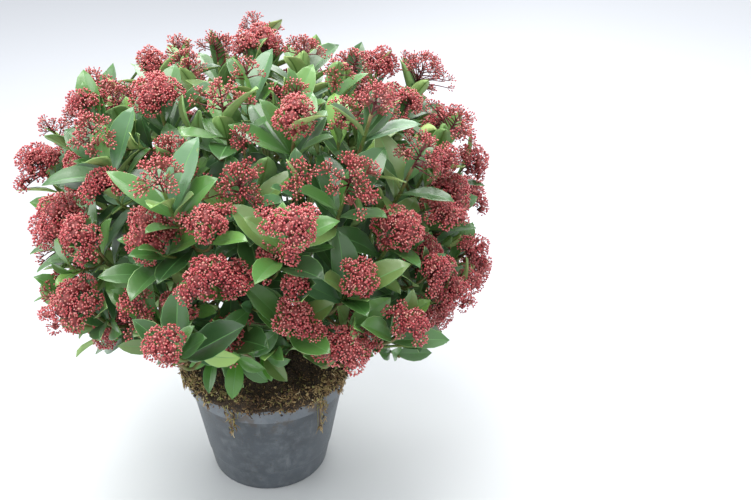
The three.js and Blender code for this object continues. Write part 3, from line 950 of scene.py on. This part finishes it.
def leafy_shoot(parent, number):
    """A short side shoot without buds."""
    index = 2000 + 10 * parent.index + number
    side, other = square_to(parent.axis)
    turn = number * golden_angle * 1.7 + 2 * math.pi * chance(index, 1)
    around = side * math.cos(turn) + other * math.sin(turn)
    root = parent.twig[int(mix(4, 10, chance(index, 2)))]
    axis = unit(around + mix(0.5, 1.3, chance(index, 3)) * parent.axis + 0.15 * up)
    tip = root + axis * mix(*leafy_lengths, chance(index, 4)) + around * 0.008
    return SideShoot(index, parent, root, axis, tip, 0)


# Two more panicles at the front, a leafy shoot inside the crown, a skirt of leaves over the pot's rim, and
# two long-leaved shoots that hang low at the sides.
front_shoots = [
    aimed_shoot(1600, (0.074, -0.296, 0.566), (0.12, -0.55, 0.80), 0.025),
    aimed_shoot(1601, (-0.020, -0.286, 0.500), (-0.05, -0.60, 0.78), 0.027),
]
budding = gap_shoots() + front_shoots
leafy = [leafy_shoot(shoot, number) for shoot in shoots for number in range(leafy_side_shoots)]
leafy.append(aimed_shoot(3010, (-0.048, 0.128, 0.43), (-0.1, 0.3, 1)))
rim_shoots = [
    aimed_shoot(3000, (-0.022, -0.124, 0.266), (0.05, -0.85, 0.30)),
    aimed_shoot(3001, (-0.056, -0.110, 0.260), (-0.35, -0.80, 0.25)),
    aimed_shoot(3002, (0.085, 0.105, 0.250), (0.6, 0.6, -0.2)),
    aimed_shoot(3005, (-0.098, 0.085, 0.242), (-0.5, 0.8, 0)),
    aimed_shoot(3006, (-0.028, 0.100, 0.244), (-0.1, 1, 0)),
    aimed_shoot(3007, (0.016, -0.128, 0.272), (0.35, -0.85, 0.15)),
]
low_shoots = [
    aimed_shoot(3003, (-0.200, -0.040, 0.240), (-1, -0.08, -0.16)),
    aimed_shoot(3004, (0.185, 0.120, 0.238), (1, 0.5, -0.12)),
]


def twig_finish():
    wood = Finish("young_green_wood")
    tan = wood.step(wood.noise(60, 4), 0.42, 0.68)
    freckles = wood.step(wood.noise(900, 2), 0.60, 0.67)
    colour = wood.blend(tan, paint(92, 116, 52), paint(126, 96, 66))
    colour = wood.blend(freckles * 0.5, colour, paint(172, 160, 116))
    return wood.surface(Base_Color=colour, Roughness=0.6, Normal=wood.relief(freckles + tan * 0.4, 0.0004))


def add_wood(wood, twig, thick, thin, sides):
    """A twig of young wood, swollen at its leaf scars."""
    row = np.arange(len(twig.twig))
    swelling = 1 + 0.12 * np.clip(np.sin(row * 2.2 + twig.index) - 0.3, 0, 1)
    wood.add(*tubes(twig.twig[None], (np.linspace(thick, thin, len(row)) * swelling)[None], sides))


young_wood = twig_finish()
for i in range(mass_count):
    wood = Shells()
    fork = mix(focus, mass_places[i], mass_fork)
    stem_start = bough_tips[i] + mass_ways[i] * clearance
    line = np.linspace(stem_start, fork + 0.002 * mass_ways[i], 8)
    wood.add(*tubes(line[None], np.linspace(0.0033, 0.0029, 8)[None], 10))
    for shoot in shoots:
        if shoot.mass == i:
            add_wood(wood, shoot, 0.0029, 0.0020, 7)
    for shoot in budding + leafy + rim_shoots + low_shoots:
        if shoot.mass == i:
            add_wood(wood, shoot, 0.0020, 0.0014, 6)
    wood.piece(f"twigs_{i + 1}", [young_wood], "bark", f"foliage_{i + 1}")

# ---- Panicles -------------------------------------------------------------------------------------------
# A shoot ends in a dense dome of crimson buds. A dark red stalk runs up it and branches into lobes, and
# each lobe is a fan of thin stalklets with an oval bud apiece. Loose panicles have their stalks in sight.

bud_spacing = 0.0035
bud_box = np.array(cad_box[0]) - 0.010, np.array(cad_box[1]) + 0.010
bud_colours = [
    (182, 70, 77),
    (168, 60, 67),
    (150, 50, 58),
    (186, 88, 90),
    (176, 78, 80),
    (132, 46, 54),
    (190, 106, 100),
]
# The tip colours are painted highlights: a pale spot on the tips of some buds.
tip_highlight_colours = [(206, 136, 132), (194, 106, 105), (196, 142, 124)]
pale_to_dark = np.array((6, 3, 0, 4, 1, 2, 5))
first_tip_highlight = len(bud_colours)
tip_highlight_limits = (0.12, 0.26, 0.31)  # running shares of the buds with each tip colour
bud_lengths = (0.0028, 0.0037)
bud_slimness = (0.70, 0.88)

# Pairs for loose panicles: deep among the others, and in free air.
loose_shares = (0.17, 0.74)
loose_lobes = (0.8, 0.72)
loose_spacing = (1.2, 1.45)
loose_inner = (0.62, 0.45)
loose_stalklets = (0.6, 0.85)

bud_finishes = plain_finishes("bud_tone", bud_colours + tip_highlight_colours, Roughness=0.36, Coat_Weight=0.25)
stalk_finishes = [
    Finish("red_stalk").surface(Base_Color=paint(100, 44, 46), Roughness=0.55),
    Finish("red_stalklet").surface(Base_Color=paint(138, 72, 64), Roughness=0.55),
    Finish("stalklet_tangle").surface(Base_Color=paint(122, 50, 48), Roughness=0.55),
]
stalklet, tangle = 1, 2


def cap_ways(way, count, widest, turn):
    """Directions spread evenly over a cap round one direction, out to an angle from it."""
    side, other = square_to(way)
    cosines = mix(1, math.cos(widest), (np.arange(count) + 0.4) / count)
    sines = np.sqrt(1 - cosines**2)
    turns = turn + golden_angle * np.arange(count)
    flat = np.cos(turns)[:, None] * side + np.sin(turns)[:, None] * other
    return cosines[:, None] * way + sines[:, None] * flat


class Panicle:
    """The lobes of one panicle: where they are, how big, which way they face and where they branch off.
    Large panicles have lesser domes at their sides, and more are loose where there is air round them."""

    def __init__(self, shoot):
        self.shoot = shoot
        self.random = np.random.default_rng(900 + shoot.index)
        high = np.clip((shoot.top[2] - 0.53) / 0.09, 0, 1)
        free_side = np.clip((-shoot.top[0] - 0.19) / 0.06, 0, 1)
        self.air = max(high, free_side)
        self.open = self.random.random() < mix(*loose_shares, self.air)
        self.lobes = []
        self.turn = 2 * math.pi * self.random.random()
        self.side, self.other = square_to(shoot.axis)
        self.dome(shoot.middle, 0.88 * shoot.radius, mix(6, 12, (shoot.radius - 0.014) / 0.022), 0.5)
        for number in range(self.random.choice((0, 1, 1, 2, 2, 3)) if shoot.radius > 0.020 else 0):
            around = self.around(1.9 + 2.1 * number)
            drop = self.random.uniform(0.05, 0.75) * shoot.radius
            radius = self.random.uniform(0.40, 0.60) * shoot.radius
            middle = shoot.middle + around * 1.02 * shoot.radius - shoot.axis * drop
            middle = keep_inside(middle, shoot.mass, 0.6 * radius)
            self.dome(middle, radius, self.random.integers(3, 6), 0.12)
        for number in range(self.random.integers(0, 3)):
            around = self.around(1 + 1.3 * number)
            way = unit(around + shoot.axis * 0.5)
            centre = shoot.panicle_foot - shoot.axis * 0.006 * number
            centre = centre + way * self.random.uniform(0.4, 0.75) * shoot.radius
            self.lobes.append((centre, self.random.uniform(0.006, 0.0095), way, -0.12 * number - 0.05))
        self.lobes = [lobe for lobe in self.lobes if lobe[0][2] > lowest_leaf(lobe[0]) - 0.008]

    def around(self, angle):
        return self.side * math.cos(self.turn + angle) + self.other * math.sin(self.turn + angle)

    def dome(self, middle, radius, count, level_of_root):
        """Lobes side by side over a dome, with uneven sizes and heights."""
        axis = self.shoot.axis
        count = int(round(count))
        flat = self.random.uniform(0.86, 1.14)
        height = panicle_slimness * radius / flat
        hub = middle - axis * 0.42 * height
        lowest = -0.15 if self.open else -0.30
        for number in range(count):
            level = mix(1, lowest, (number + 0.3 * self.random.random()) / (count - 0.7))
            around = self.around(golden_angle * number + 0.35 * self.random.normal())
            breadth = radius * (1 - 0.22 * level) * math.sqrt(max(1 - level * level, 0)) * flat
            surface = middle + axis * level * height / 2 + around * breadth
            way = unit(surface - hub)
            size = radius * self.random.uniform(0.32, 0.50)
            size = size * (mix(*loose_lobes, self.air) if self.open else 1)
            jut = self.random.uniform(-0.22, 0.14) * (1.5 if self.open else 1)
            centre = surface - way * size * (0.95 - jut)
            root_level = level_of_root * mix(0.1, 1, (level + 1) / 2)
            self.lobes.append((centre, max(size, 0.006), way, root_level))

    def buds(self):
        """The foot, direction and hub of each bud, for all lobes."""
        feet, ways, hubs = [], [], []
        centres = np.array([lobe[0] for lobe in self.lobes])
        radii = np.array([lobe[1] for lobe in self.lobes])
        spacing = bud_spacing * (mix(*loose_spacing, self.air) if self.open else 1)
        widest = 1.5 if self.open else 1.7
        for number, (centre, size, way, _) in enumerate(self.lobes):
            area = 2 * math.pi * size**2 * (1 - math.cos(widest))
            count = max(7, int(area / (0.87 * spacing**2)))
            facing = cap_ways(way, count, widest, 6 * self.random.random())
            facing = unit(facing + 0.10 * self.random.normal(size=facing.shape))
            inner = mix(*loose_inner, self.air) if self.open else 0.82
            place = centre + facing * size * self.random.uniform(inner, 1.06, (count, 1))
            gaps = np.linalg.norm(place[:, None] - centres, axis=-1) / radii
            gaps[:, number] = 9
            free = (gaps.min(1) > 0.80) & (place > bud_box[0]).all(1) & (place < bud_box[1]).all(1)
            feet.append(place[free])
            ways.append(unit(facing[free] + 0.35 * way))
            hubs.append(np.broadcast_to(centre - 0.45 * size * way, place[free].shape))
        return np.concatenate(feet), np.concatenate(ways), np.concatenate(hubs)

    def stalks(self):
        """The middle stalk and its branches, as paths and radii."""
        shoot = self.shoot
        reach = shoot.panicle_foot + shoot.axis * 0.72 * shoot.height
        paths = [np.linspace(shoot.collar, reach, 4)]
        radii = [np.linspace(0.0021, 0.0009, 4)]
        for centre, size, way, level in self.lobes:
            root = shoot.panicle_foot + shoot.axis * level * shoot.height
            hub = centre - 0.45 * size * way
            bend = mix(root, hub, 0.55) + 0.12 * np.linalg.norm(hub - root) * way
            paths.append(flowing([root, bend, hub], 4))
            radii.append(np.linspace(0.0012, 0.0007, 4))
        return np.array(paths), np.array(radii)

    def tangles(self):
        """The close-set stalklets and hidden buds in the middle of each lobe, as one dark lump."""
        centres, sizes, ways = (np.array([lobe[i] for lobe in self.lobes]) for i in range(3))
        lumps = chip_corners * self.random.uniform(0.68, 0.90, (len(sizes), 6, 1)) * sizes[:, None, None]
        return (centres - 0.16 * sizes[:, None] * ways)[:, None] + lumps


def bud_shells(feet, ways, lengths, widths):
    """Oval buds: a ring of four corners nearer the tip, and a pole at each end."""
    side, other = square_to(ways)
    rise = feet + ways * (0.58 * lengths)[:, None]
    side, other = (0.5 * widths[:, None] * direction for direction in (side, other))
    ring = [rise + side, rise + other, rise - side, rise - other]
    return np.stack([*ring, feet, feet + ways * lengths[:, None]], 1)


bud_foot_faces = [(1, 0, 4), (2, 1, 4), (3, 2, 4), (0, 3, 4)]
bud_tip_faces = [(0, 1, 5), (1, 2, 5), (2, 3, 5), (3, 0, 5)]

panicles = [Panicle(shoot) for shoot in shoots + budding if not shoot.budless]
panicles = [panicle for panicle in panicles if len(panicle.lobes) > 2]
for i in range(mass_count):
    buds = Shells()
    stalks = Shells()
    for panicle in [panicle for panicle in panicles if panicle.shoot.mass == i]:
        feet, ways, hubs = panicle.buds()
        count = len(feet)
        spray = panicle.random.normal() * 0.8
        # Buds low on a panicle are painted darker and buds near its top paler: painted shade below, painted
        # light from above.
        height = (feet - panicle.shoot.panicle_foot) @ panicle.shoot.axis / panicle.shoot.height
        painted_shade_level = 2.2 - 1.6 * height + spray + 1.1 * panicle.random.normal(size=count)
        body = pale_to_dark[np.clip(np.round(painted_shade_level + 1), 0, 6).astype(int)][:, None]
        # Some buds get a pale tip colour, a painted highlight.
        tip = first_tip_highlight + np.searchsorted(tip_highlight_limits, panicle.random.random((count, 1)), "right")
        tip = np.where(tip < first_tip_highlight + len(tip_highlight_colours), tip, body)
        lengths = panicle.random.uniform(*bud_lengths, count)
        widths = lengths * panicle.random.uniform(*bud_slimness, count)
        buds.add(bud_shells(feet, ways, lengths, widths), (bud_foot_faces, body), (bud_tip_faces, tip))
        stalks.add(*tubes(*panicle.stalks(), 3))
        if not panicle.open:
            stalks.add(panicle.tangles(), (chip_faces, tangle))
            continue
        shown = panicle.random.random(count) < mix(*loose_stalklets, panicle.air)
        lines = np.stack([hubs, feet + ways * 0.0006], 1)[shown]
        radii = np.broadcast_to((0.0003, 0.0005), (len(lines), 2))
        stalks.add(*tubes(lines, radii, 3, stalklet, closed=False))
    if buds.count:
        buds.piece(f"buds_{i + 1}", bud_finishes, "foliage", f"foliage_{i + 1}")
        stalks.piece(f"bud_stalks_{i + 1}", stalk_finishes, "foliage", f"foliage_{i + 1}")

# ---- Leaves ---------------------------------------------------------------------------------------------
# Leathery evergreen leaves in whorls below each panicle and at the ends of the side shoots: oval, pointed,
# folded along a pale midrib and edged with a thin pale margin, glossy above and dull yellow-green below.

leaf_rows = np.array((0, 0.08, 0.21, 0.37, 0.54, 0.71, 0.87, 1.0))
top_columns = np.array((-1, -0.96, -0.5, -0.03, 0.03, 0.5, 0.96, 1))
under_columns = np.array((-0.09, 0.09))
blade_colours = [
    (42, 76, 38),
    (52, 91, 44),
    (63, 106, 50),
    (76, 121, 56),
    (92, 137, 64),
    (114, 157, 72),
    (134, 172, 76),
    (72, 113, 72),
    (90, 116, 58),
    (52, 104, 28),
    (70, 124, 36),
]
yellow_blade, blue_blade, olive_blade, fresh_blade, pale_fresh_blade = 6, 7, 8, 9, 10
new_growth = 20  # stands for the fresh tones until the leaves are made
margin_colours = [(150, 186, 124), (108, 152, 86), (78, 126, 70)]
under_colours = [(88, 136, 76), (150, 182, 112), (126, 164, 100), (172, 198, 124), (108, 140, 72)]


def blade_finish(number, colour):
    leather = Finish(f"leaf_top_{number}")
    pores = leather.relief(leather.noise(650, 3) * 0.15 + leather.noise(70, 2), 0.0012, 0.5)
    gloss = {"Roughness": 0.4, "Coat_Weight": 0.5, "Coat_Roughness": 0.22}
    return leather.surface(Base_Color=paint(*colour), Normal=pores, **gloss)


leaf_finishes = [blade_finish(number, colour) for number, colour in enumerate(blade_colours, 1)]
margin_number = len(leaf_finishes)
leaf_finishes += plain_finishes("leaf_margin", margin_colours, Roughness=0.45)
rib_number = len(leaf_finishes)
leaf_finishes += plain_finishes("leaf_rib_and_underside", under_colours, Roughness=0.6)
under_rib_number = len(leaf_finishes) - 1


def blade_width(t):
    """Half the width of a leaf along its length, as a share of its greatest half width."""
    foot_power, tip_power = 1.12, 0.88
    widest = foot_power / (foot_power + tip_power)
    outline = t**foot_power * (1 - t) ** tip_power
    outline = outline / (widest**foot_power * (1 - widest) ** tip_power)
    return np.maximum(outline, np.where(t < 0.5, 0.085, 0.012))


def leaf_frames(root, along, face, length, bend, sway, t):
    """The midrib of each leaf at shares t of its length, with its heading, side and face there."""
    turn = bend[:, None] * (t - 0.42)
    heading = along[:, None] * np.cos(turn)[..., None] - face[:, None] * np.sin(turn)[..., None]
    normal = face[:, None] * np.cos(turn)[..., None] + along[:, None] * np.sin(turn)[..., None]
    steps = np.diff(t)[None, :, None] * (heading[:, 1:] + heading[:, :-1]) / 2 * length[:, None, None]
    spine = root[:, None] + np.concatenate([np.zeros((len(root), 1, 3)), np.cumsum(steps, 1)], 1)
    side = np.cross(normal, heading)
    spine = spine + side * (sway[:, None] * length[:, None] * t**2)[..., None]
    return spine, heading, side, normal


def leaf_shells(root, along, face, length, width, fold, bend, sway, twist, ripple):
    """Leaves as thin closed shells: each argument has one row or number for each leaf."""
    t = leaf_rows
    spine, _, side, normal = leaf_frames(root, along, face, length, bend, sway, t)
    roll = twist[:, None] * t
    across = side * np.cos(roll)[..., None] + normal * np.sin(roll)[..., None]
    raised = normal * np.cos(roll)[..., None] - side * np.sin(roll)[..., None]
    half = blade_width(t) * width[:, None] / 2
    thick = 0.0011 * length[:, None] ** 0.3 * np.where(t < 0.1, 1.5, 1)

    wave = ripple[:, None] * np.sin(10 * t + 57 * ripple[:, None])
    tilt = (fold[:, None] + wave)[..., None] * half[..., None]
    pillow = 0.12 * half[..., None]

    def lifted(columns, drop):
        out = (columns * half[..., None])[..., None]
        lift = np.abs(columns) * tilt + pillow * np.abs(columns) * (1 - np.abs(columns)) - drop
        return spine[:, :, None] + across[:, :, None] * out + raised[:, :, None] * lift[..., None]

    groove = 0.00018 * (np.abs(top_columns) < 0.1)
    top = lifted(top_columns, groove)
    under = lifted(under_columns, 1.9 * thick[..., None])
    return np.concatenate([top, under], 2).reshape(len(root), -1, 3)


def leaf_faces():
    """The strips of a leaf, as lists of quads: margins, blade and midrib on top, blade and keel beneath."""
    across = len(top_columns) + len(under_columns)
    top = np.arange(len(top_columns))
    under = np.concatenate([[0], np.arange(len(top_columns), across), [len(top_columns) - 1]])
    strips = []
    for ring, flipped in ((top, False), (under, True)):
        for left, right in zip(ring, ring[1:]):
            low = across * np.arange(len(leaf_rows) - 1)
            quads = np.stack([low + left, low + across + left, low + across + right, low + right], -1)
            strips.append(quads[:, ::-1] if flipped else quads)
    outline = np.concatenate([top, under[-2:0:-1]])
    ends = [outline, (outline + across * (len(leaf_rows) - 1))[::-1]]
    return strips, ends


leaf_strips, leaf_ends = leaf_faces()
lobe_middles = np.array([lobe[0] for panicle in panicles for lobe in panicle.lobes])
lobe_radii = np.array([0.95 * lobe[1] for panicle in panicles for lobe in panicle.lobes])
stations = np.array((0.0, 0.12, 0.34, 0.56, 0.78, 0.98))
outline_share = 0.96
wanted_gap = 0.03  # between leaves
least_score = 0.004
small_droop = 0.004  # how far a leaf may hang under the crown
leaf_box = np.array(cad_box[0]) - 0.008, np.array(cad_box[1]) + 0.008


def blades(leaves):
    """The shapes of some leaves at a few stations, and probes: points on the midrib and near both edges."""
    length, width, fold, bend, sway = leaves[3:]
    frames = leaf_frames(*leaves[:4], bend, sway, stations)
    shape = {key: rows[:, 1:] for key, rows in zip(("spine", "heading", "side", "normal"), frames)}
    half = blade_width(stations[1:]) * width[:, None] / 2
    rise = shape["normal"] * (0.85 * fold[:, None] * half)[..., None]
    out = shape["side"] * (0.85 * half)[..., None]
    spine = shape["spine"]
    probes = np.concatenate([spine - out + rise, spine, spine + out + rise], 1)
    return shape | {"half": half, "probes": probes, "fold": fold, "length": length}


def cuts(ones, others):
    """Whether each of some leaves goes through or touches each of some others, by points of the first."""
    offset = ones["probes"][:, None, :, None] - others["spine"][None, :, None]
    frame_axes = (others[key] for key in ("heading", "side", "normal"))
    ahead, aside, above = (np.einsum("abpsk,bsk->abps", offset, axes) for axes in frame_axes)
    half = others["half"][None, :, None]
    aside = np.abs(aside)
    above = above - others["fold"][None, :, None, None] * np.minimum(aside, half)
    over = (np.abs(ahead) < 0.125 * others["length"][None, :, None, None]) & (aside < half + 0.001)
    high = (over & (above > 0)).any((2, 3))
    low = (over & (above < 0)).any((2, 3))
    near = (over & (np.abs(above) < 0.0018)).any((2, 3))
    return near | (high & low)


class Canopy:
    """The leaves so far, which tell how much room there is for one more."""

    def __init__(self):
        self.leaves = []
        self.shapes = None

    def beyond(self, tips):
        """How far the tips of upper leaves stick out of the crown's outline, where only panicles should."""
        out = np.hypot(tips[:, 0], tips[:, 1]) / crown_radius
        rise = (tips[:, 2] - crown_height) / np.where(tips[:, 2] > crown_height, crown_above, crown_below)
        share = (out**2.5 + np.abs(rise) ** 2.5) ** 0.4
        return np.where(tips[:, 2] > 0.30, np.maximum(share - outline_share, 0), 0)

    def scores(self, choices, droop_allowed):
        """How well each choice fits: its distance from the other leaves, less what it cuts and how far it
        runs into a panicle, droops, leaves the box or sticks out of the crown."""
        spine, probes = choices["spine"], choices["probes"]
        clear = (np.linalg.norm(spine[:, :, None] - lobe_middles, axis=-1) - lobe_radii).min((1, 2))
        droop = (lowest_leaf(spine) - spine[..., 2]).max(1)
        outside = np.maximum(leaf_box[0] - probes, probes - leaf_box[1]).max((1, 2))
        scores = wanted_gap + 1.6 * np.minimum(clear, 0.004) - 8 * np.maximum(droop - droop_allowed, 0)
        scores = scores - 8 * np.maximum(outside, 0) - 0.2 * self.beyond(spine[:, -1])
        if self.shapes is None:
            return scores
        near = np.linalg.norm(self.shapes["spine"][:, 2] - spine[0, 2], axis=-1) < 0.12
        if not near.any():
            return scores
        others = {key: rows[near] for key, rows in self.shapes.items()}
        gaps = np.linalg.norm(spine[:, None, :, None] - others["spine"][None, :, None], axis=-1)
        gaps = gaps.min((1, 2, 3))
        crossed = (cuts(choices, others) | cuts(others, choices).T).sum(1)
        return scores - wanted_gap + np.minimum(gaps, wanted_gap) - 0.02 * crossed

    def add(self, mass, leaves, tone, droop_allowed):
        """Adds the choice that fits best, if it fits."""
        choices = blades(leaves)
        scores = self.scores(choices, droop_allowed)
        best = int(np.argmax(scores))
        if scores[best] < least_score:
            return
        chosen = {key: rows[best : best + 1] for key, rows in choices.items()}
        shapes = self.shapes or {key: rows[:0] for key, rows in chosen.items()}
        self.shapes = {key: np.concatenate([rows, chosen[key]]) for key, rows in shapes.items()}
        self.leaves.append((mass, *[row[best] for row in leaves], tone))

    def whorl(self, shoot, ks, shares, splays, lengths, rise, tone, climb=0, spread=0, droop=small_droop):
        """Leaves one after another up a shoot, numbered ks. Their shares of the way up its leafy stretch and
        their splays change evenly from the first to the last, and their tones climb with the share."""
        for n, k in enumerate(ks):
            step = n / (len(ks) - 1)
            share = mix(*shares, step)
            leaves = leaf_choices(shoot, k, share, mix(*splays, step), lengths, rise)
            self.add(shoot.mass, leaves, tone + climb * share + spread * chance(shoot.index, k), droop)


leaf_widths = (0.35, 0.46)  # as shares of the length
leaf_folds = (0.12, 0.50)
leaf_bends = (0.10, 0.80)
leaf_sways = (-0.08, 0.08)
splay_tries = np.array((1, 0.84, 1.1, 0.7, 0.92, 0.6, 1.2, 0.8))
length_tries = np.array((1, 0.95, 0.86, 0.78, 0.7, 0.9, 0.8, 0.66))


def leaf_choices(shoot, k, share, splay, lengths, rise, tries=8):
    """One leaf of a whorl at several turns, splays and lengths to choose from. Its rise turns it up to the
    light."""
    side, other = square_to(shoot.axis)
    root = mix(shoot.foot, shoot.collar, mix(0.05, 0.97, share))
    seed = 40 * shoot.index + k
    jitter = np.array([chance(seed, 100 + n) - 0.5 for n in range(tries)])
    turn = k * golden_angle + 2 * math.pi * chance(shoot.index, 7) + 0.7 * jitter * np.arange(tries)
    around = np.cos(turn)[:, None] * side + np.sin(turn)[:, None] * other
    opening = splay * splay_tries[:tries]
    length = mix(*lengths, chance(seed, 10)) * length_tries[:tries]
    along = np.cos(opening)[:, None] * shoot.axis + np.sin(opening)[:, None] * around
    face = np.sin(opening)[:, None] * shoot.axis - np.cos(opening)[:, None] * around
    along = unit(along + rise * mix(0.5, 1.4, chance(seed, 15)) * up)
    face = unit(face - (face * along).sum(1)[:, None] * along)
    width = length * mix(*leaf_widths, chance(seed, 11))
    fold = np.full(tries, mix(*leaf_folds, chance(seed, 12)))
    bend = np.full(tries, mix(*leaf_bends, chance(seed, 13)))
    sway = np.full(tries, mix(*leaf_sways, chance(seed, 14)))
    return np.broadcast_to(root, (tries, 3)), along, face, length, width, fold, bend, sway


class InnerStretch:
    """A stretch of a twig inside the crown that has kept a few old leaves."""

    def __init__(self, shoot, number):
        self.index = 5000 + 4 * shoot.index + number
        self.mass = shoot.mass
        self.foot = shoot.twig[3 + 4 * number]
        self.collar = shoot.twig[6 + 4 * number]
        self.axis = unit(self.collar - self.foot)


def spray_tone(shoot, dark, range_of_tones):
    """The tone that the leaves of a shoot start from: mostly dark, and pale on a few shoots."""
    return dark + range_of_tones * chance(shoot.index, 31) ** 1.3


canopy = Canopy()
for shoot in rim_shoots:
    canopy.whorl(shoot, range(8), (0, 1), (1.5, 0.8), (0.046, 0.062), 0, new_growth, droop=0.100)
for shoot in low_shoots:
    canopy.whorl(shoot, range(6), (0, 1), (0.75, 0.1), (0.088, 0.118), 0, 3.6, spread=1.2, droop=0.040)
for shoot in shoots:
    tone = spray_tone(shoot, 0.9, 2.9)
    for k in range(5):
        lengths = np.array((0.072, 0.104)) * (1 - 0.14 * k / 4)
        leaves = leaf_choices(shoot, k, k / 4, mix(1.45, 0.9, k / 4), lengths, rise=0.25, tries=5)
        canopy.add(shoot.mass, leaves, tone + k / 4, small_droop)
for shoot in shoots:
    splays = (0.85, 0.22) if shoot.budless else (0.95, 0.30)
    tone = spray_tone(shoot, 1.5, 2.9)
    canopy.whorl(shoot, range(5, 11), (0.45, 1), splays, (0.062, 0.092), 0.5, tone, climb=0.8)
# Old leaves inside the crown take the darkest tones: partly the darker green of old leaves, partly painted
# shade inside the crown.
for stretch in [InnerStretch(shoot, number) for shoot in shoots for number in range(2)]:
    canopy.whorl(stretch, range(3), (0, 1), (1.15, 1.15), (0.066, 0.100), 0.2, 0.4, spread=1.2)
for shoot in budding:
    tone = spray_tone(shoot, 1.2, 3.2)
    canopy.whorl(shoot, range(5), (0, 1), (1.05, 0.35), (0.052, 0.084), 0.5, tone, climb=0.8)
for shoot in leafy:
    tone = spray_tone(shoot, 0.5, 4.0)
    canopy.whorl(shoot, range(5), (0, 1), (1.2, 0.4), (0.048, 0.078), 0.45, tone, climb=1)

long_leaf = 0.074
odd_limits = {yellow_blade: 0.212, olive_blade: 0.20, blue_blade: 0.12}  # running shares of the leaves

leaf_random = np.random.default_rng(5)
for i in range(mass_count):
    own = [leaf for leaf in canopy.leaves if leaf[0] == i]
    count = len(own)
    shape = [np.array(column) for column in list(zip(*own))[1:-1]]
    twist = leaf_random.uniform(-0.2, 0.2, count)
    ripple = leaf_random.uniform(0.02, 0.10, count)
    points = leaf_shells(*shape, twist, ripple)

    # Leaves are painted paler high up and darker low down, as painted light and painted shade. They are also
    # darker the longer they are, and a few are bluish, olive or yellow.
    height = np.clip((shape[0][:, 2] - 0.42) / 0.2, -1, 0.5)
    tone = np.array([leaf[-1] for leaf in own]) + 0.7 * height + 0.8 * leaf_random.normal(size=count)
    tone = tone - 45 * np.maximum(shape[3] - long_leaf, 0)
    fresh = np.where(tone < new_growth - 0.5, fresh_blade, pale_fresh_blade)
    tone = np.where(tone > new_growth / 2, fresh, np.clip(tone, 0, 5.9).astype(int))
    odd = leaf_random.random(count)
    for odd_tone, limit in odd_limits.items():
        tone = np.where(odd < limit, odd_tone, tone)
    blade = tone[:, None]
    margin = margin_number + leaf_random.choice((0, 1, 1, 2, 2), (count, 1))
    under = rib_number + 1 + leaf_random.integers(0, 3, (count, 1))
    top_tones = [margin, blade, blade, rib_number, blade, blade, margin]
    groups = zip(leaf_strips, [*top_tones, under, under_rib_number, under])
    leaves = Shells()
    leaves.add(points, *groups, *[([end], margin) for end in leaf_ends])
    leaves.piece(f"leaves_{i + 1}", leaf_finishes, "foliage", f"foliage_{i + 1}")

# ---- Sizes and finish -----------------------------------------------------------------------------------

sizes = {"cad": [list(corner) for corner in cad_box], "visual": [list(corner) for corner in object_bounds()]}
